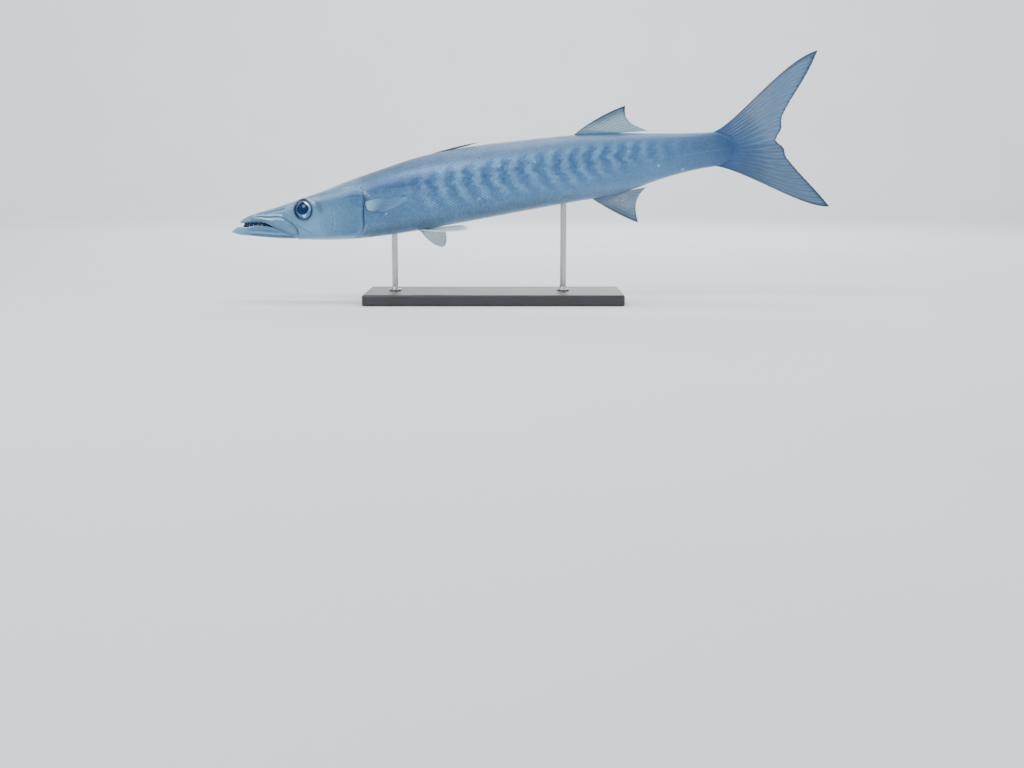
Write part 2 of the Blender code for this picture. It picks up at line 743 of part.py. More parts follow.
def median_fins(finish):
    """The folded first dorsal fin, the second dorsal fin and the anal fin."""
    root = back_root(0.347, 0.384)
    start, end = root(np.array([0.0, 1.0]))
    tip, last = (0.424, 0, back(0.424) + 0.0048), (0.404, 0, back(0.404) + 0.0016)
    lead = [start, (0.367, 0, back(0.367) + 0.0022), (0.396, 0, back(0.396) + 0.0044), tip]
    tips = [tip, (0.418, 0, back(0.418) + 0.0036), (0.411, 0, back(0.411) + 0.0024), last]
    grid = patch(lead, straight(end, last), root, tips, 6, 9)
    median_fin("fin_dorsal_first", finish, 5, 6, grid, root=0.0022, tip=0.0010, ridge=0.0004)

    root = back_root(0.577, 0.650)
    start, end = root(np.array([0.0, 1.0]))
    tip, last = (0.6655, 0, 0.0895), (0.697, 0, 0.0447)
    lead = [start, (0.602, 0, 0.0705), (0.640, 0, 0.0850), tip]
    tips = [tip, (0.660, 0, 0.0700), (0.665, 0, 0.0600), last]
    median_fin("fin_dorsal_second", finish, 10, 7, patch(lead, straight(end, last), root, tips, 7, 19))

    root = belly_root(0.593, 0.656)
    start, end = root(np.array([0.0, 1.0]))
    tip, last = (0.6635, 0, -0.1005), (0.684, 0, -0.0447)
    lead = [start, (0.612, 0, -0.0680), (0.643, 0, -0.0905), tip]
    tips = [tip, (0.660, 0, -0.0780), (0.660, 0, -0.0600), last]
    median_fin("fin_anal", finish, 10, 7, patch(lead, straight(end, last), root, tips, 7, 19))


def pectoral_fin(name, side, finish):
    """A breast fin folded back along the flank: its fleshy root lies on the body and its tip stands off it."""
    rows, rays = 7, 9
    columns = 2 * rays - 1
    lead = [(0.2295, 0, 0.0040), (0.252, 0, 0.0070), (0.280, 0, 0.0050), (0.302, 0, -0.0020)]
    last = [(0.2320, 0, -0.0100), (0.240, 0, -0.0125), (0.249, 0, -0.0142), (0.257, 0, -0.0138)]
    tips = [lead[3], (0.298, 0, -0.0060), (0.280, 0, -0.0125), last[3]]
    grid = patch(lead, last, straight_root(lead[0], last[0]), tips, rows, columns)
    u = np.linspace(0, 1, rows)[:, None] * np.ones((1, columns))
    half = ray_thickness(rows, rays, 0.0022, 0.0006, 0.0003, 0.0004)
    lean = 2 * GAP + 0.0004 + 0.0100 * step(0.10, 1.0, u) ** 1.3
    turn = np.array([1, side, 1])
    inner = side_point(grid[..., 0], grid[..., 2], lean)
    outer = side_point(grid[..., 0], grid[..., 2], lean + 2 * half)
    return sheet(name, outer * turn, inner * turn, finish)


def pelvic_fin(name, side, lead_corners, tip_corners, finish):
    """A belly fin: lead_corners are the last three of its spine edge, and tip_corners the middle two and the inner
    end of its outer edge. Its root is a short line on the belly, from the outer front to the inner rear."""
    rows, rays = 7, 6
    columns = 2 * rays - 1
    front_angle, rear_angle = -74.0, -84.0

    def root(v):
        v = np.asarray(v, float)
        angles = front_angle + (rear_angle - front_angle) * v
        return section(0.303 + 0.017 * v, angles, GAP) * np.array([1, side, 1])

    start, end = root(np.array([0.0, 1.0]))
    lead = [start, *lead_corners]
    tips = [lead_corners[-1], *tip_corners]
    grid = patch(lead, straight(end, tip_corners[-1]), root, tips, rows, columns)
    normal = np.cross(np.gradient(grid, axis=0), np.gradient(grid, axis=1))
    normal /= np.linalg.norm(normal, axis=-1, keepdims=True)
    normal *= -np.sign(normal[..., 2].mean())
    half = ray_thickness(rows, rays, 0.0020, 0.0006, 0.0003, 0.0004)[..., None]
    outer, inner = grid + normal * half, grid - normal * half
    thickness = 2 * half[..., 0] * np.abs(normal[..., 2])
    for skin, clear in ((inner, GAP), (outer, GAP + thickness)):
        limit = underside(skin[..., 0], skin[..., 1]) - clear
        skin[..., 2] = np.minimum(skin[..., 2], limit)
        skin[0, :, 2] = limit[0]
    return sheet(name, outer, inner, finish)


def paired_fins(finish):
    """The breast and belly fins. Each side's belly fin has its own spread, as in a turning fish."""
    pectoral_fin("fin_pectoral_right", 1, finish)
    pectoral_fin("fin_pectoral_left", -1, finish)
    pelvic_fin(
        "fin_pelvic_left",
        -1,
        [(0.328, -0.018, -0.0640), (0.358, -0.027, -0.0680), (0.382, -0.032, -0.0685)],
        [(0.386, -0.028, -0.0660), (0.382, -0.020, -0.0610), (0.368, -0.013, -0.0600)],
        finish,
    )
    pelvic_fin(
        "fin_pelvic_right",
        1,
        [(0.310, 0.025, -0.0740), (0.318, 0.044, -0.0860), (0.331, 0.058, -0.0935)],
        [(0.341, 0.057, -0.0945), (0.344, 0.044, -0.0830), (0.345, 0.024, -0.0690)],
        finish,
    )


def stand(base_finish, rod_finish, bodies):
    """A flat base and two rods. Each rod is cut by the belly above it, then lowered by the gap."""
    length, width, height = BASE_SIZE
    mesh = bpy.data.meshes.new("stand_base")
    work = bmesh.new()
    bmesh.ops.create_cube(work, size=1.0)
    bmesh.ops.scale(work, vec=BASE_SIZE, verts=work.verts)
    bmesh.ops.translate(work, vec=(0, 0, height / 2), verts=work.verts)
    work.to_mesh(mesh)
    work.free()
    mesh.materials.append(base_finish)
    base = bpy.data.objects.new("stand_base", mesh)
    bpy.context.scene.collection.objects.link(base)
    bevel = base.modifiers.new("edges", "BEVEL")
    bevel.width = BASE_BEVEL
    bevel.segments = 2
    for name, s, body in zip(("stand_rod_front", "stand_rod_rear"), ROD_PLACES, bodies, strict=True):
        foot = place((s, 0, belly(s)))
        turn = np.linspace(0, 2 * np.pi, ROD_SIDES, endpoint=False)
        ring = np.stack([foot[0] + ROD_RADIUS * np.cos(turn), foot[1] + ROD_RADIUS * np.sin(turn)], -1)
        low = np.column_stack([ring, np.full(ROD_SIDES, height + 2 * GAP)])
        high = np.column_stack([ring, np.full(ROD_SIDES, foot[2] + 0.015)])
        k = np.arange(ROD_SIDES)
        following = (k + 1) % ROD_SIDES
        faces = [(a, b, b + ROD_SIDES, a + ROD_SIDES) for a, b in zip(k.tolist(), following.tolist(), strict=True)]
        faces += [tuple(range(ROD_SIDES - 1, -1, -1)), tuple(range(ROD_SIDES, 2 * ROD_SIDES))]
        mesh = bpy.data.meshes.new(name)
        mesh.from_pydata(np.concatenate([low, high]).tolist(), [], faces)
        mesh.materials.append(rod_finish)
        rod = bpy.data.objects.new(name, mesh)
        bpy.context.scene.collection.objects.link(rod)
        cut = rod.modifiers.new("belly", "BOOLEAN")
        cut.object = body
        cut.operation = "DIFFERENCE"
        cut.solver = "EXACT"
        bpy.context.view_layer.update()
        made = bpy.data.meshes.new_from_object(rod.evaluated_get(bpy.context.evaluated_depsgraph_get()))
        rod.modifiers.clear()
        rod.data = made
        for vertex in made.vertices:
            vertex.co.z -= GAP


def main():
    """Builds every part of the fish and its stand."""
    for obj in list(bpy.data.objects):
        bpy.data.objects.remove(obj)
    skin = material("fish_skin", (0.30, 0.40, 0.52), 0.35, 0.3)
    cover = material("gill_plate", (0.42, 0.52, 0.63), 0.3, 0.35)
    fin = material("fin_membrane", (0.38, 0.45, 0.52), 0.45)
    eye = material("eye", (0.05, 0.08, 0.14), 0.08)
    ivory = material("tooth", (0.85, 0.84, 0.76), 0.3)
    base = material("stand_base", (0.12, 0.12, 0.13), 0.5)
    steel = material("stand_rod", (0.6, 0.6, 0.62), 0.3, 1.0)

    head = upper_head(skin)
    jaw = lower_jaw(skin)
    dress_head(head, jaw, skin, ivory)
    for label, side in (("right", 1), ("left", -1)):
        gill_cover(f"gill_cover_{label}", side, cover)
        maxilla(f"maxilla_{label}", side, cover)
        eye_ball(f"eye_{label}", side, eye)
    opening = gill_margin(RING_ANGLES, -GILL_STEP) + 2.2 * GAP
    front = trunk_piece("torso_front", opening, WAIST_FRONT - GAP / 2, 12, GILL_STEP, skin)
    rear = trunk_piece("torso_rear", WAIST_FRONT + GAP / 2, WAIST_REAR - GAP / 2, 9, 0.0, skin)
    trunk_piece("tail_stalk", WAIST_REAR + GAP / 2, stalk_end(RING_ANGLES), 13, 0.0, skin)
    median_fins(fin)
    caudal_fin(fin)
    paired_fins(fin)
    stand(base, steel, (front, rear))


main()
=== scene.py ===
"""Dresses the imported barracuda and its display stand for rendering.

The fish is shaped in its own straight frame: s runs back from the tip of the lower jaw, y to its right and z
up from its axis. FishForm.place bends that frame into the swimming pose. Lengths are in metres. Section
angles are in degrees: 90 at the back, 0 at the widest line and -90 at the belly.
"""

from __future__ import annotations

import logging
import math
from collections.abc import Callable, Sequence
from dataclasses import dataclass, field
from enum import Enum

import bpy
import numpy as np
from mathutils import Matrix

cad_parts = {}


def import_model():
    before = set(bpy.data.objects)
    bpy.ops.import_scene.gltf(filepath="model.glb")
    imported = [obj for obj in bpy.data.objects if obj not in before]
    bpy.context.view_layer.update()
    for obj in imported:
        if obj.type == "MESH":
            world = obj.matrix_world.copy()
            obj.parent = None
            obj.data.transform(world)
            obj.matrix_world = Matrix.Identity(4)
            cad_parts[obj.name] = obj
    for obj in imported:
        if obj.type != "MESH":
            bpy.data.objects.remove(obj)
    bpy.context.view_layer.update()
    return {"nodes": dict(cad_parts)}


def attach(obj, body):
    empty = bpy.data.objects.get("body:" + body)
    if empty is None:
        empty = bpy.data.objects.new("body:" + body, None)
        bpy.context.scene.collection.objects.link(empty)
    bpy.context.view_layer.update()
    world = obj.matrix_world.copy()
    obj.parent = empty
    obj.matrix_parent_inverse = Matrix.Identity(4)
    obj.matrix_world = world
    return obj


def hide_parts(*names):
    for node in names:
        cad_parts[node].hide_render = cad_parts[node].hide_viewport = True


LOG = logging.getLogger("barracuda")
Array = np.ndarray
Material = bpy.types.Material
Triple = tuple[float, float, float]
Stations = tuple[tuple[float, float], ...]
Line = Callable[[Array], Array]
BODY = "root"


class Side(Enum):
    """The two sides of the fish, each with the sign of its y."""

    RIGHT = 1
    LEFT = -1

    @property
    def label(self) -> str:
        """The side's name as the pieces carry it."""
        return self.name.lower()

    @property
    def turn(self) -> Array:
        """The factors that bring a point of the right side to this side."""
        return np.array([1.0, float(self.value), 1.0])


def smooth_line(stations: Stations) -> Line:
    """A cubic Hermite curve through stations, with each slope the gradient of the stations beside it.

    Args:
        stations: The places, rising, with their values. Outside them the end values hold.

    Returns:
        A function from places to values.
    """
    places, values = np.array(stations, float).T
    slopes = np.gradient(values, places)

    def value_at(place: Array) -> Array:
        place = np.clip(np.asarray(place, float), places[0], places[-1])
        i = np.clip(np.searchsorted(places, place) - 1, 0, len(places) - 2)
        width = places[i + 1] - places[i]
        t = (place - places[i]) / width
        start = (1 + 2 * t) * (1 - t) ** 2 * values[i] + t * (1 - t) ** 2 * width * slopes[i]
        end = t * t * (3 - 2 * t) * values[i + 1] + t * t * (t - 1) * width * slopes[i + 1]
        return start + end

    return value_at


def outline(*stations: tuple[float, float]) -> Line:
    """A dataclass field that holds the smooth line through the stations."""
    return field(default_factory=lambda: smooth_line(stations))


def step(low: float, high: float, value: Array) -> Array:
    """0 below low, 1 above high and t * t * (3 - 2t) between. A low above high turns it round."""
    t = np.clip((np.asarray(value, float) - low) / (high - low), 0, 1)
    return t * t * (3 - 2 * t)


def hump(value: Array, centre: float, width: float) -> Array:
    """A bell of height 1: exp(-((value - centre) / width)**2)."""
    return np.exp(-(((np.asarray(value, float) - centre) / width) ** 2))


def blend(first: Array, second: Array, share: Array) -> Array:
    """first + (second - first) * share, with the share given once for all channels."""
    return first + (np.asarray(second) - first) * np.asarray(share)[..., None]


def unit(vectors: Array) -> Array:
    """The vectors divided by their lengths."""
    return vectors / np.maximum(np.linalg.norm(vectors, axis=-1, keepdims=True), 1e-12)


def paint(red: float, green: float, blue: float) -> Array:
    """A paint named by its screen values of 0 to 255, as linear light."""
    share = np.array([red, green, blue]) / 255
    return np.where(share <= 0.04045, share / 12.92, ((share + 0.055) / 1.055) ** 2.4)


def layered(base: Array, *layers: tuple[Triple, Array]) -> Array:
    """Lays paints over a base colour in turn, each given by its screen values and its share."""
    for tone, share in layers:
        base = blend(base, paint(*tone), share)
    return base


def opaque(colour: Array) -> Array:
    """The colour with a fourth channel of 1, as a colour attribute needs."""
    return np.concatenate([colour, np.ones((*colour.shape[:-1], 1))], -1)


def line_distance(s: Array, z: Array, points: Stations) -> Array:
    """How far each (s, z) lies from an open line of points: the least distance to its straight pieces."""
    corners = np.array(points, float)
    a, b = corners[:-1], corners[1:]
    here = np.stack(np.broadcast_arrays(s, z), -1)[..., None, :]
    share = np.clip(((here - a) * (b - a)).sum(-1) / ((b - a) ** 2).sum(-1), 0, 1)
    return np.linalg.norm(here - a - share[..., None] * (b - a), axis=-1).min(-1)


def grid_faces(rows: int, columns: int, wrap: bool = False) -> Array:
    """The triangles of a grid of points numbered row by row: two for each cell.

    Args:
        rows: Number of rows.
        columns: Number of columns.
        wrap: Whether the last column joins the first.

    Returns:
        Triangles of point numbers, shaped (count, 3).
    """
    i, j = np.meshgrid(np.arange(rows - 1), np.arange(columns if wrap else columns - 1), indexing="ij")
    i, j = i.ravel(), j.ravel()
    a, b = i * columns + j, i * columns + (j + 1) % columns
    c, d = b + columns, a + columns
    return np.concatenate([np.stack([a, b, c], 1), np.stack([a, c, d], 1)])


def mesh_piece(
    name: str, points: Array, faces: Array, finish: Material,
    attributes: dict[str, Array] | None = None, stands_for: Sequence[str] = (), flat: Array | None = None,
) -> bpy.types.Object:
    """Makes one smooth-shaded piece, turned outwards, riding on the fish's body.

    The faces are turned round where the summed volume of their tetrahedra from the first point is negative.

    Args:
        name: The piece's name.
        points: Its points in the row frame.
        faces: Its triangles.
        finish: Its material.
        attributes: Values for each point: one number, three, or four for a colour.
        stands_for: The CAD nodes that it replaces.
        flat: Which triangles are shaded flat, so that they leave their neighbours' shading alone.

    Returns:
        The new object.
    """
    points = np.ascontiguousarray(np.asarray(points, float).reshape(-1, 3))
    corners = points[faces] - points[faces[0, 0]]
    if np.einsum("ij,ij->i", corners[:, 0], np.cross(corners[:, 1], corners[:, 2])).sum() < 0:
        faces = faces[:, ::-1]
    mesh = bpy.data.meshes.new(name)
    mesh.vertices.add(len(points))
    mesh.vertices.foreach_set("co", points.ravel())
    mesh.loops.add(faces.size)
    mesh.loops.foreach_set("vertex_index", np.ascontiguousarray(faces, np.int32).ravel())
    mesh.polygons.add(len(faces))
    mesh.polygons.foreach_set("loop_start", np.arange(0, faces.size, 3, dtype=np.int32))
    mesh.polygons.foreach_set("use_smooth", np.ones(len(faces), bool) if flat is None else ~flat)
    mesh.update(calc_edges=True)
    kinds = {1: ("FLOAT", "value"), 3: ("FLOAT_VECTOR", "vector"), 4: ("FLOAT_COLOR", "color")}
    for label, values in (attributes or {}).items():
        values = np.asarray(values, float).reshape(len(points), -1)
        kind, key = kinds[values.shape[1]]
        layer = mesh.attributes.new(label, kind, "POINT")
        layer.data.foreach_set(key, np.ascontiguousarray(values, np.float32).ravel())
    mesh.materials.append(finish)
    piece = bpy.data.objects.new(name, mesh)
    bpy.context.scene.collection.objects.link(piece)
    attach(piece, BODY)
    if stands_for:
        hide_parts(*stands_for)
    LOG.info("%s: %d triangles", name, len(faces))
    return piece


def closed_sheet(front: Array, rear: Array) -> tuple[Array, Array]:
    """Closes two grids of points alike in shape into one thin body: both skins and a wall round their edge.

    Args:
        front: One skin, shaped (rows, columns, 3).
        rear: The other skin.

    Returns:
        The points, and the triangles.
    """
    rows, columns = front.shape[:2]
    count = rows * columns
    index = np.arange(count).reshape(rows, columns)
    skin = grid_faces(rows, columns)
    edge = np.concatenate([index[0], index[1:, -1], index[-1, -2::-1], index[-2:0:-1, 0]])
    after = np.roll(edge, -1)
    wall = [np.stack([edge, after, after + count], 1), np.stack([edge, after + count, edge + count], 1)]
    points = np.concatenate([front.reshape(-1, 3), rear.reshape(-1, 3)])
    return points, np.concatenate([skin[:, ::-1], skin + count, *wall])


def closed_loft(halves: Array) -> tuple[Array, Array]:
    """Closes half rings, each from its top centre down the right side to its bottom centre, into one body.

    The left half mirrors the right, and rungs between mirrored points close both ends.

    Args:
        halves: Points shaped (rings, points of half a ring, channels), whose second channel is y.

    Returns:
        The points with all their channels, shaped (rings, around, channels), and the triangles.
    """
    rings, half = halves.shape[:2]
    turn = np.ones(halves.shape[-1])
    turn[1] = -1.0
    points = np.concatenate([halves, halves[:, -2:0:-1] * turn], axis=1)
    around = 2 * (half - 1)
    left = (around - np.arange(half)) % around
    rung = np.arange(half - 1)
    after = left[rung + 1]
    ladder = np.concatenate([np.stack([rung, rung + 1, after], 1), np.stack([rung, after, left[rung]], 1)])
    ladder = ladder[(ladder[:, 0] != ladder[:, 2]) & (ladder[:, 1] != ladder[:, 2])]
    ends = [ladder[:, ::-1], ladder + (rings - 1) * around]
    return points, np.concatenate([grid_faces(rings, around, True), *ends])


class Wire:
    """One output socket of a material. Its operators add Math nodes, so it is for values only."""

    def __init__(self, nodes: Nodes, socket: bpy.types.NodeSocket) -> None:
        """Holds the socket and the tree that it is in."""
        self.nodes = nodes
        self.socket = socket

    def __add__(self, other: Wire | float) -> Wire:
        """self + other."""
        return self.nodes.math("ADD", self, other)

    def __sub__(self, other: Wire | float) -> Wire:
        """self - other."""
        return self.nodes.math("SUBTRACT", self, other)

    def __rsub__(self, other: Wire | float) -> Wire:
        """other - self."""
        return self.nodes.math("SUBTRACT", other, self)

    def __mul__(self, other: Wire | float) -> Wire:
        """self * other."""
        return self.nodes.math("MULTIPLY", self, other)

    def __truediv__(self, other: Wire | float) -> Wire:
        """self / other."""
        return self.nodes.math("DIVIDE", self, other)

    def __pow__(self, other: Wire | float) -> Wire:
        """self to the power other."""
        return self.nodes.math("POWER", self, other)

    __radd__, __rmul__ = __add__, __mul__

    def step(self, low: float, high: float) -> Wire:
        """A smooth rise from 0 at low to 1 at high."""
        sockets = {0: self, 1: low, 2: high, 3: 0.0, 4: 1.0}
        return self.nodes.wire("ShaderNodeMapRange", {"interpolation_type": "SMOOTHSTEP"}, sockets)


class Nodes:
    """The node tree of one material, round its Principled BSDF."""

    def __init__(self, name: str) -> None:
        """Makes the material of that name."""
        self.material = bpy.data.materials.new(name)
        self.material.use_nodes = True
        self.tree = self.material.node_tree
        self.place = self.wire("ShaderNodeTexCoord", {}, {}, "Object")

    def add(self, kind: str, settings: dict[str, object], sockets: dict[int | str, object]) -> bpy.types.Node:
        """Adds a node of any type.

        Args:
            kind: The node's type.
            settings: Its own settings, set before its sockets.
            sockets: The value or wire of each input.

        Returns:
            The new node.
        """
        node = self.tree.nodes.new(kind)
        for key, value in settings.items():
            setattr(node, key, value)
        self.feed(node, sockets)
        return node

    def feed(self, node: bpy.types.Node, sockets: dict[int | str, object]) -> None:
        """Links a wire to, or sets a value on, each of the named inputs of a node."""
        for key, value in sockets.items():
            if isinstance(value, Wire):
                self.tree.links.new(value.socket, node.inputs[key])
            else:
                node.inputs[key].default_value = value

    def wire(self, kind: str, settings: dict, sockets: dict, out: int | str = 0) -> Wire:
        """Adds a node and returns one of its outputs."""
        return Wire(self, self.add(kind, settings, sockets).outputs[out])

    def math(self, operation: str, first: Wire | float, second: Wire | float) -> Wire:
        """A Math node on two values."""
        return self.wire("ShaderNodeMath", {"operation": operation}, {0: first, 1: second})

    def attribute(self, name: str, out: str = "Fac") -> Wire:
        """One of the mesh's attributes, as its Fac, Color or Vector output."""
        return self.wire("ShaderNodeAttribute", {"attribute_name": name}, {}, out)

    def split(self, name: str) -> list[Wire]:
        """The three parts of one of the mesh's vector attributes."""
        node = self.add("ShaderNodeSeparateXYZ", {}, {0: self.attribute(name, "Vector")})
        return [Wire(self, output) for output in node.outputs]

    def noise(self, scale: float, detail: float = 2.0, stretch: Triple | None = None) -> Wire:
        """Noise of 0 to 1 at so many cells to the metre, on the object's own place times stretch."""
        place = self.place
        if stretch:
            place = self.wire("ShaderNodeVectorMath", {"operation": "MULTIPLY"}, {0: place, 1: stretch})
        return self.wire("ShaderNodeTexNoise", {}, {"Vector": place, "Scale": scale, "Detail": detail})

    def mix(self, share: Wire | float, first: object, second: object) -> Wire:
        """A Mix node on two colours, each a wire or linear red, green and blue."""
        first, second = (c if isinstance(c, Wire) else (*c, 1.0) for c in (first, second))
        return self.wire("ShaderNodeMix", {"data_type": "RGBA"}, {0: share, 6: first, 7: second}, 2)

    def scaled(self, colour: Wire, factor: Wire | float) -> Wire:
        """A colour times a value."""
        return self.wire("ShaderNodeVectorMath", {"operation": "SCALE"}, {0: colour, "Scale": factor})

    def bump(self, height: Wire, distance: float, strength: float = 1.0) -> Wire:
        """The normal of a surface with small relief. distance is the relief's full height in metres."""
        sockets = {"Height": height, "Distance": distance, "Strength": strength}
        return self.wire("ShaderNodeBump", {}, sockets, "Normal")

    def dress(self, sockets: dict[str, object]) -> Material:
        """Feeds the Principled BSDF's inputs and returns the finished material."""
        self.feed(self.tree.nodes["Principled BSDF"], sockets)
        return self.material


@dataclass(frozen=True)
class SkinFinish:
    """Painted fish skin under a thin clear coat. The paint comes from each piece's own markings."""

    metallic: float = 0.35
    roughness: float = 0.36
    pore_height: float = 0.00016
    crease_height: float = 0.0005
    # The mouth's lining: near black, partly its own dark colour and partly painted shade inside the mouth.
    lining: Triple = (0.016, 0.028, 0.052)

    def material(self) -> Material:
        """Paint times three sizes of noise, with pores and creases. Inside the mouth it turns to lining."""
        nodes = Nodes("fish_skin")
        blotch, freckle, speckle = nodes.noise(30.0, 3.0), nodes.noise(210.0, 3.0), nodes.noise(850.0, 2.0)
        creases = nodes.noise(160.0, 4.0, (0.5, 1.0, 1.6))
        inside = nodes.attribute("lining")
        tone = 0.62 + blotch * 0.34 + freckle * 0.26 + speckle * 0.14
        colour = nodes.scaled(nodes.attribute("marking", "Color"), tone)
        colour = nodes.mix(blotch.step(0.45, 0.75) * 0.22, colour, nodes.scaled(colour, 1.25))
        colour = nodes.mix(freckle.step(0.58, 0.72) * 0.16, colour, paint(150, 168, 150))
        relief = speckle * (self.pore_height / self.crease_height) + creases
        return nodes.dress({
            "Base Color": nodes.mix(inside, colour, self.lining),
            "Metallic": self.metallic * (1 - inside),
            "Roughness": self.roughness - 0.10 + blotch * 0.12 + speckle * 0.10 + inside * 0.1,
            "Normal": nodes.bump(relief, self.crease_height, 0.6),
            "Coat Weight": 0.18,
            "Coat Roughness": 0.18,
        })


@dataclass(frozen=True)
class ScaleFinish:
    """Silvery scales: each carries the skin's paint at its root, fine growth rings and its own tone."""

    metallic: float = 0.45
    roughness: float = 0.29
    ring_height: float = 0.000015

    def material(self) -> Material:
        """The attribute "leaf" is the place along and across the scale, and the scale's own draw."""
        nodes = Nodes("scale")
        along, across, draw = nodes.split("leaf")
        reach = (along * along + across * across) ** 0.5
        speckle, blotch = nodes.noise(700.0, 2.0), nodes.noise(30.0, 3.0)
        tone = 0.64 + blotch * 0.28 + draw * 0.24 + speckle * 0.12 - reach.step(0.78, 1.0) * 0.12
        return nodes.dress({
            "Base Color": nodes.scaled(nodes.attribute("marking", "Color"), tone),
            "Metallic": self.metallic,
            "Roughness": self.roughness + draw * 0.14,
            "Normal": nodes.bump(nodes.math("SINE", reach * 60.0, 0.0), self.ring_height, 0.5),
            "Coat Weight": 0.2,
            "Coat Roughness": 0.15,
        })


@dataclass(frozen=True)
class EyeFinish:
    """A glossy eye: a dark egg-shaped pupil, a silver-blue iris that is brightest above, and a dark rim. The
    brightness above and behind is a painted highlight, with a painted glint low down; the darker front is
    painted shade, and the dark rim is painted shade where the orbit meets the eye.
    """

    pupil: tuple[float, float] = (0.79, 0.74)
    pupil_place: tuple[float, float] = (-0.03, 0.17)

    def material(self) -> Material:
        """The attribute "iris" runs -1 to 1 backwards and upwards on the eye. Masks are distances in it."""
        nodes = Nodes("eye")
        x, y, _ = nodes.split("iris")
        a = (x - self.pupil_place[0]) / self.pupil[0]
        b = (y - self.pupil_place[1]) / self.pupil[1]
        narrow = 1 + b.step(-0.15, 1.0) * 0.62
        reach = (a * a * narrow * narrow + b * b) ** 0.5
        outside, rim = reach.step(0.98, 1.02), ((x * x + y * y) ** 0.5).step(0.90, 0.97)
        grain, dapple = nodes.noise(650.0, 4.0), nodes.noise(190.0, 3.0)
        glint = (0.30 - ((x - 0.05) * (x - 0.05) + (y + 0.66) * (y + 0.66)) ** 0.5).step(0.0, 0.22)
        colour = nodes.mix(grain * 0.55 + dapple * 0.6 - 0.10, paint(34, 82, 136), paint(108, 172, 216))
        for share, tone in (
            # Painted shade: the iris darker towards the front and below.
            ((0.20 - x - y * 0.35).step(0.0, 0.8) * 0.75, (44, 88, 134)),
            # Painted highlight: the iris brighter towards the back and top.
            ((x * 0.70 + y).step(0.25, 0.80) * dapple.step(0.22, 0.50) * 0.92, (190, 238, 252)),
            # A painted glint low on the iris.
            (glint * grain.step(0.35, 0.6), (214, 244, 250)),
            (reach.step(1.10, 1.03) * 0.45, (160, 204, 228)),
            # Painted shade: a dark rim where the orbit meets the eye.
            (rim, (24, 46, 82)),
        ):
            colour = nodes.mix(share, colour, paint(*tone))
        return nodes.dress({
            "Base Color": nodes.mix(reach.step(0.97, 1.02), paint(12, 38, 78), colour),
            "Metallic": outside * 0.5 * (1 - rim),
            "Roughness": 0.20 + outside * 0.12,
            "Coat Weight": 0.22,
            "Coat Roughness": 0.06,
            "IOR": 1.22,
        })


@dataclass(frozen=True)
class FinFinish:
    """Thin translucent fin skin with paler rays. The tint comes from each fin's own points."""

    ray_tone: float = 1.25
    roughness: float = 0.38

    def material(self) -> Material:
        """The attribute "ray" holds how much of a ray is there, and "veil" how little shows through."""
        nodes = Nodes("fin_skin")
        ray, veil = nodes.attribute("ray"), nodes.attribute("veil")
        mottle, thread = nodes.noise(75.0, 3.0), nodes.noise(900.0, 2.0)
        tone = 0.70 + mottle * 0.36 + thread * 0.12 + ray * (self.ray_tone - 1)
        return nodes.dress({
            "Base Color": nodes.scaled(nodes.attribute("tint", "Color"), tone),
            "Metallic": 0.12,
            "Roughness": self.roughness + thread * 0.12 - ray * 0.06,
            "Alpha": nodes.math("MINIMUM", veil + ray * 0.35 + (mottle - 0.5) * 0.2, 1.0),
            "Normal": nodes.bump(thread, 0.00008, 0.5),
            "Coat Weight": 0.3,
            "Coat Roughness": 0.15,
        })


@dataclass(frozen=True)
class ToothFinish:
    """Ivory that is a little darker at the root and clearer at the tip."""

    root: Triple = (196, 184, 150)
    point: Triple = (240, 240, 228)

    def material(self) -> Material:
        """The attribute "tip" runs from 0 at the root to 1 at the point."""
        nodes = Nodes("tooth")
        grain = nodes.noise(1500.0, 2.0, (1.0, 1.0, 0.15))
        colour = nodes.mix(nodes.attribute("tip").step(0.0, 0.6), paint(*self.root), paint(*self.point))
        return nodes.dress({
            "Base Color": nodes.scaled(colour, 0.88 + grain * 0.2),
            "Roughness": 0.22 + grain * 0.12,
            "Coat Weight": 0.5,
            "Coat Roughness": 0.08,
        })


@dataclass(frozen=True)
class FleshFinish:
    """Dark moist flesh for the tongue, its dark slate partly its own colour and partly painted shade inside the
    mouth.
    """

    low: Triple = (14, 30, 56)
    high: Triple = (44, 68, 100)

    def material(self) -> Material:
        """Two slate tones mixed by noise, with small bumps."""
        nodes = Nodes("mouth_flesh")
        mottle = nodes.noise(260.0, 4.0)
        return nodes.dress({
            "Base Color": nodes.mix(mottle, paint(*self.low), paint(*self.high)),
            "Roughness": 0.45 + mottle * 0.2,
            "Normal": nodes.bump(mottle, 0.0003, 0.7),
            "Coat Weight": 0.15,
        })


@dataclass(frozen=True)
class LacquerFinish:
    """Satin lacquer on the base, with faint orange peel and dust marks."""

    low: Triple = (34, 35, 38)
    high: Triple = (46, 47, 50)

    def material(self) -> Material:
        """Two tones mixed by noise, a fine bump and uneven gloss."""
        nodes = Nodes("stand_lacquer")
        cloud, peel = nodes.noise(9.0, 4.0), nodes.noise(700.0, 2.0)
        return nodes.dress({
            "Base Color": nodes.mix(cloud, paint(*self.low), paint(*self.high)),
            "Roughness": 0.34 + cloud * 0.14 + peel * 0.05,
            "Normal": nodes.bump(peel, 0.00004, 0.5),
            "Coat Weight": 0.3,
            "Coat Roughness": 0.25,
        })


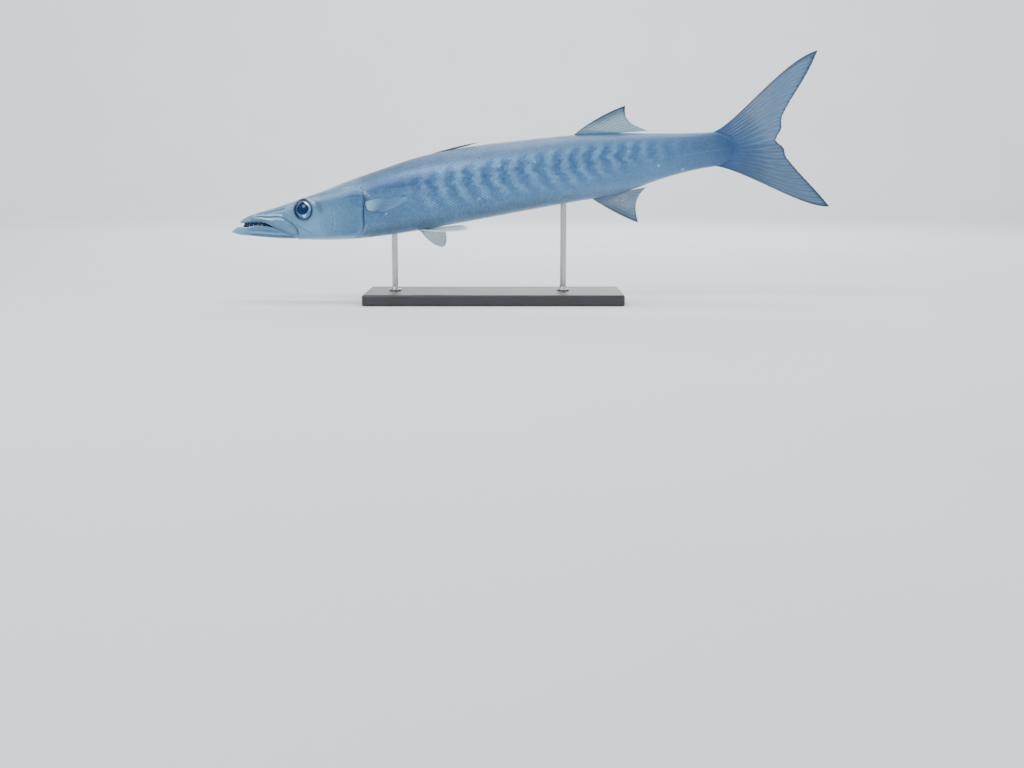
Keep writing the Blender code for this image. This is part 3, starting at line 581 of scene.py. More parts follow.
@dataclass(frozen=True)
class SteelFinish:
    """Steel brushed round the rod."""

    low: Triple = (176, 178, 182)
    high: Triple = (214, 215, 218)

    def material(self) -> Material:
        """Noise drawn out level round the rod gives the brush lines, in tone, gloss and bump."""
        nodes = Nodes("stand_steel")
        brush, smear = nodes.noise(2600.0, 3.0, (0.06, 0.06, 1.0)), nodes.noise(45.0, 2.0)
        return nodes.dress({
            "Base Color": nodes.mix(brush, paint(*self.low), paint(*self.high)),
            "Metallic": 1.0,
            "Roughness": 0.24 + brush * 0.12 + smear * 0.08,
            "Normal": nodes.bump(brush, 0.00002, 0.4),
        })
MAXILLA_TOP: Stations = (
    (0.030, 0.0150), (0.047, 0.0148), (0.060, 0.0104), (0.071, 0.0078), (0.082, 0.0060), (0.090, 0.0022),
    (0.097, -0.0040), (0.1045, -0.0118), (0.1082, -0.0190),
)
MAXILLA_BOTTOM: Stations = (
    (0.030, 0.0110), (0.047, 0.0078), (0.060, 0.0040), (0.072, -0.0050), (0.0865, -0.0172), (0.096, -0.0245),
    (0.103, -0.0275), (0.1082, -0.0255),
)


@dataclass
class FishForm:
    """The fish's own form, which all its pieces share: outlines, pose and the frame of its eyes."""

    fork_length: float = 0.900
    jaw_tip: tuple[float, float] = (-0.430, 0.115)
    head_pitch: float = math.radians(12.2)
    tail_pitch: float = math.radians(6.0)
    swing_start: float = 0.42
    tail_swing: float = 0.014
    snout_tip: float = 0.0195
    stalk_end_at: float = 0.832
    stalk_sweep: float = 0.031
    eye: tuple[float, float] = (0.1260, 0.0106)
    eye_radii: Triple = (0.0137, 0.0152, 0.0085)
    eye_proud: float = 0.0034
    eye_up: float = math.radians(14)
    eye_forward: float = math.radians(9)
    back: Line = outline(
        (0.0, 0.001), (0.01, 0.0075), (0.0195, 0.014), (0.03, 0.018), (0.048, 0.0205), (0.081, 0.024),
        (0.122, 0.0293), (0.187, 0.0395), (0.254, 0.05), (0.32, 0.0592), (0.386, 0.062), (0.5, 0.0585),
        (0.579, 0.0545), (0.643, 0.048), (0.706, 0.0398), (0.756, 0.0335), (0.8, 0.0302), (0.832, 0.03),
    )
    belly: Line = outline(
        (0.0, -0.0015), (0.01, -0.0072), (0.025, -0.012), (0.056, -0.0215), (0.106, -0.035), (0.157, -0.046),
        (0.202, -0.0525), (0.25, -0.056), (0.31, -0.0575), (0.432, -0.056), (0.563, -0.0525), (0.61, -0.0512),
        (0.661, -0.0455), (0.7, -0.037), (0.74, -0.0302), (0.78, -0.0262), (0.832, -0.0262),
    )
    half_width: Line = outline(
        (0.0, 0.0012), (0.006, 0.0042), (0.0195, 0.0078), (0.035, 0.0104), (0.06, 0.014), (0.09, 0.019),
        (0.122, 0.0246), (0.16, 0.03), (0.225, 0.0372), (0.29, 0.0425), (0.36, 0.0445), (0.45, 0.043),
        (0.55, 0.0385), (0.63, 0.032), (0.7, 0.024), (0.76, 0.0168), (0.805, 0.01), (0.832, 0.0038),
    )
    widest: Line = outline(
        (0.0, -0.0005), (0.02, 0.003), (0.05, 0.0), (0.085, -0.005), (0.122, -0.007), (0.16, -0.006),
        (0.225, -0.003), (0.4, 0.002), (0.6, 0.0), (0.832, 0.0015),
    )
    top_power: Line = outline(
        (0.0, 0.8), (0.06, 0.72), (0.122, 0.7), (0.22, 0.84), (0.32, 0.92), (0.832, 0.94),
    )
    bottom_power: Line = outline((0.0, 0.9), (0.08, 0.92), (0.16, 0.98), (0.26, 0.94), (0.832, 0.94))
    upper_lip: Line = outline(
        (0.0195, 0.0102), (0.03, 0.009), (0.044, 0.007), (0.059, 0.003), (0.072, -0.0062), (0.0865, -0.018),
        (0.1, -0.0285), (0.11, -0.0365), (0.125, -0.06),
    )
    lower_lip: Line = outline(
        (0.0, 0.0002), (0.007, 0.0038), (0.014, 0.005), (0.025, 0.0018), (0.044, 0.0008), (0.058, -0.003),
        (0.072, -0.0084), (0.0865, -0.0192), (0.1, -0.0296), (0.108, -0.0358),
    )
    margin_line: Line = outline(
        (-0.056, 0.188), (-0.049, 0.1985), (-0.044, 0.2095), (-0.035, 0.2165), (-0.017, 0.221),
        (-0.003, 0.224), (0.008, 0.227), (0.018, 0.2275), (0.03, 0.2235), (0.046, 0.219),
    )

    def place(self, points: Array) -> Array:
        """Bends points (s, y, z) of the straight frame into the pose.

        The axis is an arc whose pitch changes evenly from head to tail. Behind swing_start it swings to the
        fish's left with the square of the distance.
        """
        s, y, z = np.moveaxis(np.asarray(points, float), -1, 0)
        rate = (self.tail_pitch - self.head_pitch) / self.fork_length
        pitch = self.head_pitch + rate * s
        axis_x = self.jaw_tip[0] + (np.sin(pitch) - math.sin(self.head_pitch)) / rate
        axis_z = self.jaw_tip[1] - (np.cos(pitch) - math.cos(self.head_pitch)) / rate
        span = self.fork_length - self.swing_start
        share = np.clip((s - self.swing_start) / span, 0, None)
        yaw = np.arctan(-2 * self.tail_swing * share / span)
        along = -y * np.sin(yaw)
        x = axis_x + along * np.cos(pitch) - z * np.sin(pitch)
        up = axis_z + along * np.sin(pitch) + z * np.cos(pitch)
        return np.stack([x, y * np.cos(yaw) - self.tail_swing * share**2, up], -1)

    def section(self, s: Array, angle: Array, out: Array | float = 0.0) -> Array:
        """Points of the closed-mouthed fish: a superellipse at each s, wider or boxier by its two powers.

        Args:
            s: Distance back along the axis.
            angle: Section angle in degrees.
            out: How far the points are moved outwards.

        Returns:
            Points (s, y, z).
        """
        s, angle, out = np.broadcast_arrays(*(np.asarray(v, float) for v in (s, angle, out)))
        c, n = np.cos(np.radians(angle)), np.sin(np.radians(angle))
        power = np.where(n > 0, self.top_power(s), self.bottom_power(s))
        middle = self.widest(s)
        reach = np.where(n > 0, self.back(s) - middle, middle - self.belly(s))
        y = self.half_width(s) * np.sign(c) * np.abs(c) ** power + out * c
        z = middle + reach * np.sign(n) * np.abs(n) ** power + out * n
        return np.stack([s, y, z], -1)

    def angle_at(self, s: Array, z: Array) -> Array:
        """The section angle at which the section has the height z."""
        rise = z - self.widest(s)
        reach = np.where(rise > 0, self.back(s) - self.widest(s), self.widest(s) - self.belly(s))
        power = np.where(rise > 0, self.top_power(s), self.bottom_power(s))
        return np.degrees(np.arcsin(np.clip(np.abs(rise) / reach, 0, 1) ** (1 / power))) * np.sign(rise)

    def side_point(self, s: Array, z: Array, out: Array | float = 0.0) -> Array:
        """The point of the right side at s and z, moved outwards by out."""
        return self.section(s, self.angle_at(s, z), out)

    def underside(self, s: Array, y: Array) -> Array:
        """The height of the underside at s and y."""
        cosine = np.clip(np.abs(y) / self.half_width(s), 0, 1) ** (1 / self.bottom_power(s))
        depth = self.widest(s) - self.belly(s)
        return self.widest(s) - depth * np.sqrt(1 - cosine**2) ** self.bottom_power(s)

    def gill_margin(self, angles: Array) -> Array:
        """s of the gill opening at each section angle: a line of s by height, met by repetition."""
        s = np.full_like(np.asarray(angles, float), 0.22)
        for _ in range(12):
            s = self.margin_line(self.section(s, angles)[..., 2])
        return s

    def stalk_end(self, angles: Array) -> Array:
        """s of the rear edge of the tail stalk: farthest back at mid height, by a power of the sine."""
        return self.stalk_end_at - self.stalk_sweep * np.abs(np.sin(np.radians(angles))) ** 2.2

    def eye_frame(self, side: Side) -> tuple[Array, Array]:
        """The middle of an eye's opening, and its axes as rows: back along the head, up, and outwards."""
        level = math.cos(self.eye_forward)
        up, sideways = level * math.sin(self.eye_up), level * math.cos(self.eye_up)
        out = np.array([-math.sin(self.eye_forward), side.value * sideways, up])
        along = np.cross([0, 0, 1], out)
        along *= np.sign(along[0]) / np.linalg.norm(along)
        up = np.cross(out, along)
        return self.side_point(*self.eye) * side.turn, np.stack([along, up * np.sign(up[2]), out])


@dataclass(frozen=True)
class Stroke:
    """A line drawn on the head: a groove, or a ridge where the depth is negative, with its own shade. A
    positive shade is painted shade along the line, a negative one a painted highlight.
    """

    points: tuple[tuple[float, float], ...]
    width: float
    depth: float
    shade: float = 0.0

    def share(self, s: Array, z: Array) -> Array:
        """How much of the stroke is at each (s, z): a bell across the line."""
        return np.exp(-((line_distance(s, z, self.points) / self.width) ** 2))


# A positive shade lays dark paint along the stroke as painted shade in its groove; a negative shade lays the
# glint paint along it as a painted highlight.
STROKES: tuple[Stroke, ...] = (
    Stroke(((0.046, 0.0158), (0.056, 0.0128), (0.07, 0.01), (0.083, 0.0082), (0.0905, 0.004), (0.0985, -0.003),
            (0.1062, -0.011), (0.1095, -0.019), (0.1085, -0.027)), 0.0011, 0.0011, 0.75),
    Stroke(((0.042, 0.0176), (0.056, 0.015), (0.069, 0.0123), (0.08, 0.0107), (0.089, 0.0082)), 0.0009, -0.0007,
           -0.75),
    Stroke(((0.06, 0.0172), (0.0698, 0.0175), (0.0775, 0.0187), (0.0873, 0.018), (0.095, 0.019)), 0.0012,
           0.0008, 0.6),
    Stroke(((0.1095, -0.0108), (0.1122, -0.0137), (0.1188, -0.0195), (0.125, -0.0247), (0.131, -0.03)), 0.0009,
           0.0006, 0.35),
    Stroke(((0.106, 0.0255), (0.118, 0.0292), (0.132, 0.0296), (0.145, 0.0268)), 0.0026, -0.0006, -0.1),
    Stroke(((0.143, 0.025), (0.1485, 0.019), (0.1525, 0.012), (0.1545, 0.004)), 0.0048, 0.0003, 0.36),
    Stroke(((0.196, 0.0305), (0.2065, 0.0315), (0.216, 0.031)), 0.0008, -0.0004, -0.45),
    Stroke(((0.166, 0.015), (0.1715, 0.002), (0.1725, -0.013), (0.169, -0.027), (0.158, -0.037),
            (0.142, -0.0395)), 0.0014, 0.0002, 0.03),
    Stroke(((0.163, 0.015), (0.1685, 0.002), (0.1695, -0.013), (0.166, -0.026), (0.156, -0.0355)), 0.0018,
           -0.0001, 0.0),
    Stroke(((0.186, 0.013), (0.196, 0.0155), (0.208, 0.016), (0.22, 0.014)), 0.0016, 0.0003, 0.1),
    Stroke(((0.184, 0.002), (0.197, 0.0000), (0.212, -0.003)), 0.0016, 0.0002, 0.05),
    Stroke(((0.2262, 0.0235), (0.231, 0.0185), (0.2365, 0.0135)), 0.0016, 0.0, -0.5),
    Stroke(((0.148, 0.0372), (0.16, 0.0356), (0.176, 0.0362), (0.192, 0.0388)), 0.003, 0.0, -0.35),
)


@dataclass
class Markings:
    """The fish's paint, by place on the body: back, flank, chevron bars, cheeks, belly and dark marks. It also
    holds painted light: painted highlights on single scales, on ridges and on the head's top, and painted shade
    in grooves, at the gill opening, under the lip and the breast fin and round the orbit.
    """

    form: FishForm
    bars: tuple[float, ...] = (
        0.272, 0.3, 0.325, 0.353, 0.382, 0.412, 0.441, 0.469, 0.498, 0.528, 0.555, 0.58, 0.606, 0.632, 0.657,
        0.682, 0.71, 0.736, 0.758, 0.78,
    )
    bar_height: float = 0.010
    sparkles: Stations = (
        (0.258, -0.021), (0.41, -0.023), (0.452, 0.024), (0.509, 0.022), (0.66, 0.016), (0.706, -0.013),
        (0.744, -0.024),
    )
    back: Triple = (86, 120, 156)
    flank: Triple = (92, 140, 188)
    dark: Triple = (46, 86, 138)
    light: Triple = (120, 176, 220)
    glint: Triple = (188, 222, 240)
    belly: Triple = (122, 162, 200)
    throat: Triple = (158, 182, 202)
    cheek: Triple = (96, 144, 180)
    # The crown and snout paints are lighter: painted light from above on the head's top.
    crown: Triple = (124, 154, 178)
    snout: Triple = (112, 152, 182)
    # Dark paint, mostly painted shade: in grooves, along the upper lip's lower edge, under the breast fin,
    # round the orbit, and as painted shadow at the gill opening over the membrane's own dark skin.
    mark_and_shade: Triple = (22, 42, 74)
    stalk: Triple = (80, 116, 160)

    def sweep(self, s: Array, z: Array) -> Array:
        """How far back a bar lies at z from its foremost point: powers of the height above and below it."""
        rise, fall = np.clip(z - self.bar_height, 0, None), np.clip(self.bar_height - z, 0, None)
        upper = np.interp(s, (0.33, 0.65), (0.004, 0.0095)) * (rise / 0.021) ** 1.4
        return upper + np.interp(s, (0.31, 0.36, 0.47), (0.004, 0.012, 0.018)) * (fall / 0.036) ** 1.5

    def bar_wave(self, s: Array, z: Array) -> tuple[Array, Array]:
        """1 in the middle of a light bar and 0 between two: a cosine of the bar's number at the swept s.

        Small sines of s and z make the bars waver, and a sine of the number makes some of them stronger.

        Returns:
            The wave, and each bar's own strength.
        """
        waver = 0.0019 * np.sin(290 * z + 47 * s) + 0.0015 * np.sin(560 * z - 90 * s + 1.3 * np.sin(61 * s))
        number = np.interp(s - self.sweep(s, z) + waver, self.bars, np.arange(len(self.bars)))
        return 0.5 + 0.5 * np.cos(2 * np.pi * number), 0.80 + 0.20 * np.sin(2.4 * np.round(number) + 190 * z)

    def colour(self, s: Array, z: Array, angle: Array) -> Array:
        """The paint at places on the body, layered from the broad tones to the marks.

        Args:
            s: Distance back along the axis.
            z: Height from the axis.
            angle: Section angle in degrees.

        Returns:
            Linear red, green and blue.
        """
        s, z, angle = np.broadcast_arrays(*(np.asarray(v, float) for v in (s, z, angle)))
        rim = np.interp(s, (0.20, 0.25, 0.55, 0.64, 0.75), (0.028, 0.036, 0.037, 0.034, 0.026))
        bar_top = np.interp(s, (0.28, 0.35, 0.60, 0.70, 0.76), (0.030, 0.034, 0.035, 0.030, 0.024))
        low = np.interp(
            s, (0.3, 0.55, 0.62, 0.66, 0.7, 0.76), (-0.032, -0.032, -0.024, -0.008, -0.002, 0.002)
        )
        reach = step(bar_top + 0.004, bar_top - 0.006, z) * step(low - 0.008, low + 0.014, z)
        strength = np.interp(
            s, (0.285, 0.305, 0.335, 0.36, 0.62, 0.7, 0.775), (0.0, 0.35, 0.75, 1.0, 0.9, 0.5, 0.0)
        )
        wave, own = self.bar_wave(s, z)
        edge = np.interp(z, (-0.028, -0.006, 0.012, 0.034), (0.15, 0.36, 0.56, 0.66))
        light = np.clip((wave - edge) / (1.0 - edge), 0, 1) ** 1.1 * reach * strength * own
        light = light * np.interp(z, (-0.03, -0.016, 0.010, 0.034), (0.5, 0.85, 0.9, 0.55))
        dark_reach = step(rim + 0.004, rim - 0.006, z) * step(low - 0.010, low + 0.012, z)
        dark = step(0.70, 0.05, wave) * dark_reach * np.clip(strength * 1.15, 0, 1) * own
        dark = dark * np.interp(z, (-0.026, -0.008, 0.004, 0.024), (0.05, 0.28, 0.54, 0.66))
        shoulder = step(0.215, 0.25, s) * step(0.37, 0.31, s) * step(0.008, 0.020, z) * step(0.040, 0.031, z)
        backed = step(rim - 0.005, rim + 0.006, z) * step(0.19, 0.24, s) * step(0.80, 0.72, s)
        line_height = np.interp(s, (0.23, 0.33, 0.50, 0.64, 0.83), (0.020, 0.012, 0.003, -0.004, 0.001))
        thread = hump(z, line_height, 0.0011) * step(0.235, 0.26, s) * step(0.84, 0.82, s)
        sparkle = sum(hump(np.hypot(s - a, z - b), 0.0, 0.0017) for a, b in self.sparkles)
        base = layered(
            paint(*self.flank) + np.zeros((*s.shape, 3)),
            (self.stalk, step(0.70, 0.80, s)),
            (self.belly, step(-0.026, -0.044, z) * 0.8),
            (self.throat, step(-60, -84, angle)),
            (self.dark, dark),
            (self.light, light),
            (self.dark, shoulder * 0.85 * (1 - light)),
            (self.back, backed * 0.9),
            (self.dark, hump(angle, 90, 9) * step(0.15, 0.3, s) * 0.35),
            (self.light, thread * 0.22),
        )
        return layered(
            self.head(base, s, z, angle),
            (self.glint, np.clip(sparkle, 0, 1) * 0.9),
            (self.dark, step(0.785, 0.838, s) * 0.8),
        )

    def head(self, base: Array, s: Array, z: Array, angle: Array) -> Array:
        """Lays the head's paint over the body's: cheek, crown, snout, gill band, lip, strokes and orbit. The
        lighter crown and snout top are painted light from above; the gill band, the lip's edge, the skin under
        the breast fin, the strokes and the orbit carry painted shade, and some strokes painted highlights.
        """
        margin, top = self.form.margin_line(z), self.form.back(s)
        flank = step(margin + 0.012, margin - 0.012, s)
        side = flank * step(-66, -50, angle)
        # The patch darkens the skin round the gill cover's upper rear edge, and the corner a spot at its edge.
        # The band is painted shadow just behind the gill cover's rear edge, over the dark skin of its membrane.
        patch = hump(s, 0.214, 0.013) * hump(z, 0.015, 0.013)
        wide = np.interp(z, (-0.040, -0.020, 0.002), (0.0026, 0.0048, 0.0060))
        band = hump((s - margin - np.interp(z, (-0.03, 0.0), (0.0008, 0.0022))) / wide, 0, 1)
        band = band * step(-0.048, -0.034, z) * step(0.026, 0.004, z)
        band = band * np.interp(z, (-0.04, -0.015), (0.6, 1.0))
        corner = hump(s, 0.219, 0.005) * hump(z, 0.0005, 0.0016)
        # The lip band is painted shade along the upper lip's lower edge.
        lip = z - self.form.upper_lip(s)
        lip_band = step(0.004, 0.0008, lip) * step(-0.0012, 0.0, lip)
        lip_band = lip_band * step(0.07, 0.05, s) * step(0.0205, 0.027, s)
        near = step(0.25, 0.24, s)
        spread = np.hypot((s - self.form.eye[0]) / 0.0152, (z - self.form.eye[1]) / 0.0166)
        return layered(
            base,
            (self.cheek, side),
            (self.dark, side * step(0.165, 0.195, s) * 0.17),
            (self.dark, hump(z, 0.014, 0.009) * step(0.138, 0.15, s) * flank * 0.35),
            # Painted light from above: the crown and the top of the snout are painted lighter.
            (self.crown, step(0.55, 0.85, (z + 0.006) / (top + 0.006)) * step(0.25, 0.20, s) * 0.85),
            (self.snout, step(0.10, 0.07, s) * step(-40, 0, angle) * 0.7),
            (self.throat, step(-56, -80, angle) * flank * 0.8),
            (self.mark_and_shade, np.clip(patch * 0.36 + band * 0.60 + corner * 0.4, 0, 0.85)),
            # Painted shadow under the breast fin.
            (self.mark_and_shade, hump(s, 0.249, 0.016) * hump(z, -0.0125, 0.0050) * 0.5),
            (self.mark_and_shade, lip_band * 0.62),
            *((self.mark_and_shade if line.shade > 0 else self.glint, line.share(s, z) * near * abs(line.shade))
              for line in STROKES),
            # Painted shade in a ring round the orbit.
            (self.mark_and_shade, step(1.22, 0.98, spread) * 0.62 * step(0.25, 0.2, s)),
        )


@dataclass
class Kit:
    """What every sub-assembly is built from: the form, the markings and the finished materials."""

    form: FishForm
    marks: Markings
    skin: Material
    scale: Material
    fin: Material
    tooth: Material
    flesh: Material
    eye: Material

    def painted(self, s: Array, z: Array, angle: Array) -> Array:
        """The markings as a colour attribute."""
        return opaque(self.marks.colour(s, z, angle))

    def rim(self, s: Array, angle: Array) -> Array:
        """How far the gill cover rises towards its margin. It fades out at the nape and at the throat."""
        before = s - self.form.gill_margin(angle)
        height = np.interp(before, (-0.0090, -0.0050, -0.0024, -0.0010), (0.0, 0.0002, 0.0005, 0.0006))
        return height * (before < 0) * step(-82, -68, angle) * step(44, 32, angle)

    def relief(self, s: Array, angle: Array, z: Array) -> Array:
        """How far the skin stands out from the form: strokes, crown, brow, temple, cheek and lower lid."""
        near = step(0.25, 0.235, s) * step(0.0, 0.0024, self.form.back(s) - z)
        out = sum(-stroke.depth * stroke.share(s, z) for stroke in STROKES if stroke.depth) * near
        out = out - 0.0009 * (step(60, 84, angle) * step(0.05, 0.09, s) * step(0.19, 0.15, s))
        out = out + 0.0006 * hump(angle, 58, 9) * step(0.085, 0.105, s) * step(0.18, 0.15, s)
        for height, (s0, s_width), (z0, z_width) in (
            (-0.0004, (0.155, 0.011), (0.010, 0.012)),
            (0.0007, (0.185, 0.016), (-0.014, 0.020)),
            (0.0005, (0.130, 0.012), (-0.018, 0.009)),
        ):
            out = out + height * hump(s, s0, s_width) * hump(z, z0, z_width)
        return out


@dataclass
class BodySkin:
    """One skin over head, gill covers, trunk and tail stalk, with the palate and the gill opening's fold."""

    kit: Kit
    upper_points: int = 96
    inner_points: int = 34
    head_end: float = 0.150
    head_rings: int = 200
    cheek_rings: int = 84
    trunk_rings: int = 60
    fold_front: float = 0.0062
    fold_rear: float = 0.016
    coat_depth: float = 0.0007
    lip_bulge: float = 0.0007
    lip_band: float = 0.0026
    palate_rise: float = 0.0030
    gape_end: float = 0.080
    stalk_reach: float = 0.015
    # The fold's rings: s where there is no fold, s where there is, and the height, from the gill margin.
    fold: tuple[Triple, ...] = (
        (-0.0050, -0.0050, 0.0002), (-0.0036, -0.0036, 0.0004), (-0.0024, -0.0022, 0.0005),
        (-0.0014, -0.0010, 0.0006), (-0.0008, -0.0003, 0.0005), (-0.0002, 0.0001, 0.0003),
        (0.0003, 0.0001, 0.0001), (0.0008, -0.0006, -0.0002), (0.0014, -0.0016, -0.0005),
        (0.0020, -0.0022, -0.0010), (0.0027, -0.0012, -0.0013), (0.0036, 0.0006, -0.0013),
        (0.0052, 0.0036, -0.0011), (0.0076, 0.0068, -0.0008), (0.0110, 0.0108, -0.0004),
    )

    def corner(self, s: Array) -> Array:
        """The section angle where a ring turns in: the lip's edge by the mouth, and low behind it."""
        form = self.kit.form
        lip = np.clip(form.angle_at(s, form.upper_lip(s)), -62, 60)
        return lip + (-37.5 - lip) * step(0.104, self.head_end, s)

    def ring_angles(self, corner: Array) -> Array:
        """Half a ring's section angles: even steps from 90 to the corner, then from there to -90."""
        above = np.linspace(0, 1, self.upper_points)
        below = np.linspace(0, 1, self.inner_points + 1)[1:]
        corner = np.asarray(corner, float)[:, None]
        return np.concatenate([90 + (corner - 90) * above, corner + (-90 - corner) * below], 1)

    def coat(self, s: Array, angle: Array) -> Array:
        """How deep the skin lies under the scales: nothing on the bare head, a little on the cheek."""
        cheek = step(0.150, 0.172, s) * step(-58, -45, angle) * 0.35
        trunk = step(0.0, 0.010, s - self.kit.form.margin_line(0.0) + 0.012)
        return self.coat_depth * np.maximum(cheek, trunk)

    def head_halves(self) -> tuple[Array, Array, Array]:
        """The rings of the snout and face, with the lips rounded and the palate arched inside them.

        Returns:
            Half rings of points, their angles, and how much of the mouth's lining each point shows.
        """
        form = self.kit.form
        s = np.linspace(form.snout_tip, self.head_end, self.head_rings)
        angles = self.ring_angles(self.corner(s))
        column = s[:, None] + np.zeros_like(angles)
        plain = form.section(column, angles)
        relief = self.kit.relief(column, angles, plain[..., 2])
        rings = form.section(column, angles, relief - self.coat(column, angles))
        lip = form.upper_lip(s)[:, None]
        mouth = (1 - step(self.gape_end, 0.110, s))[:, None]
        near_lip = np.clip(1 - np.abs(rings[..., 2] - lip - self.lip_band / 2) / self.lip_band, 0, 1) * mouth
        rings[..., 1] += self.lip_bulge * np.sqrt(near_lip) * (rings[..., 1] > self.lip_bulge)
        edge = rings[:, self.upper_points - 1, 1][:, None]
        inner = rings[:, self.upper_points :]
        below = (plain[:, self.upper_points :, 2] < lip) & (s[:, None] < 0.1098)
        share = 1 - np.linspace(0, 1, self.inner_points + 1)[None, 1:]
        across = np.minimum(inner[..., 1], edge * share)
        rolled = 0.0009 * hump(share, 0.93, 0.05) * mouth
        roof = lip - rolled + self.palate_rise * mouth * (1 - share**2)
        inner[..., 1] = np.where(below, across, inner[..., 1])
        inner[..., 2] = np.where(below, roof, inner[..., 2])
        lining = np.zeros_like(angles)
        lining[:, self.upper_points :] = below * step(0.97, 0.86, share) * step(0.0200, 0.0245, s)[:, None]
        return rings, angles, lining

    def nose_halves(self, first: Array) -> Array:
        """Seven rings ahead of the first that close the snout's tip: a quarter ellipse in s."""
        turn = np.linspace(0.12, 1.0, 8)[:-1, None, None]
        middle = np.array([0.0, 0.0, (first[0, 2] + first[-1, 2]) / 2])
        rings = middle + (first - middle) * np.sqrt(1 - (1 - turn) ** 2)
        rings[..., 0] = first[0, 0] - 0.0019 * (1 - turn[..., 0])
        return rings

    def rear_halves(self) -> tuple[Array, Array]:
        """The rings from the cheek to the tail, warped to the gill margin and folded under it.

        Returns:
            Half rings of points, and their angles.
        """
        form = self.kit.form
        angles = self.ring_angles(np.array([-37.5]))[0]
        margin = form.gill_margin(angles)
        width = step(-82, -68, angles) * step(44, 32, angles)
        front = np.linspace(0, 1, self.cheek_rings + 1)[1:, None]
        s = [self.head_end + (margin - self.fold_front - self.head_end) * front]
        out = [self.kit.rim(s[0], angles)]
        for plain, folded, height in self.fold:
            s.append((margin + plain + (folded - plain) * width)[None])
            out.append((height * width)[None])
        rear = np.linspace(0, 1, self.trunk_rings)[:, None]
        end = form.stalk_end(angles) + self.stalk_reach * np.cos(np.radians(angles)) ** 2 + 0.002
        s.append(margin + self.fold_rear + (end - margin - self.fold_rear) * rear)
        out.append(np.zeros((self.trunk_rings, len(angles))))
        s, raised = np.concatenate(s), np.concatenate(out)
        angles = angles + np.zeros_like(s)
        z = form.section(s, angles)[..., 2]
        bare = np.clip(np.abs(raised) / 0.0004 - 1.0, 0, 1)
        depth = self.coat(s, angles) * (1 - bare)
        rings = form.section(s, angles, raised + self.kit.relief(s, angles, z) - depth)
        tail = step(0.0, 1.0, (s - form.stalk_end(angles) + 0.006) / (self.stalk_reach + 0.004))
        rings[..., 1] *= 1 - tail * 0.86
        return rings, angles

    def build(self) -> None:
        """Builds the skin and paints it."""
        form = self.kit.form
        head, head_angles, lining = self.head_halves()
        nose = self.nose_halves(head[0])
        rear, rear_angles = self.rear_halves()
        count = len(nose)
        halves = np.concatenate([nose, head, rear])
        angles = np.concatenate([np.repeat(head_angles[:1], count, 0), head_angles, rear_angles])
        inside = np.concatenate([np.repeat(lining[:1], count, 0), lining, np.zeros_like(rear_angles)])
        halves[:, [0, -1], 1] = 0.0
        halves = np.concatenate([halves, angles[..., None], inside[..., None]], -1)
        points, faces = closed_loft(halves)
        straight = points[..., :3]
        for side in Side:
            straight = self.sink_orbit(straight, side)
        s, z, angle = straight[..., 0], straight[..., 2], points[..., 3]
        mesh_piece(
            "body_skin",
            form.place(straight),
            faces,
            self.kit.skin,
            {"marking": self.kit.painted(s, z, angle).reshape(-1, 4), "lining": points[..., 4].ravel()},
            ("head", "gill_cover_left", "gill_cover_right", "torso_front", "torso_rear", "tail_stalk"),
        )

    def sink_orbit(self, points: Array, side: Side) -> Array:
        """Sinks the skin under one eye: 7 mm inside the eye's outline, rising to nothing just outside it."""
        centre, axes = self.kit.form.eye_frame(side)
        local = (points - centre) @ axes.T
        radii = self.kit.form.eye_radii
        reach = np.hypot(local[..., 0] / radii[0], local[..., 1] / radii[1])
        near = (local[..., 2] > -0.02) & (points[..., 1] * side.value > 0)
        fall = 0.0075 * step(1.13, 1.02, reach) * near
        brow = 0.0002 * hump(reach, 1.36, 0.10) * near
        return points + (brow - fall)[..., None] * axes[2]


JAW_CREASE: Stations = (
    (0.03, -0.007), (0.045, -0.0105), (0.0625, -0.0158), (0.0865, -0.0222), (0.107, -0.0282),
)


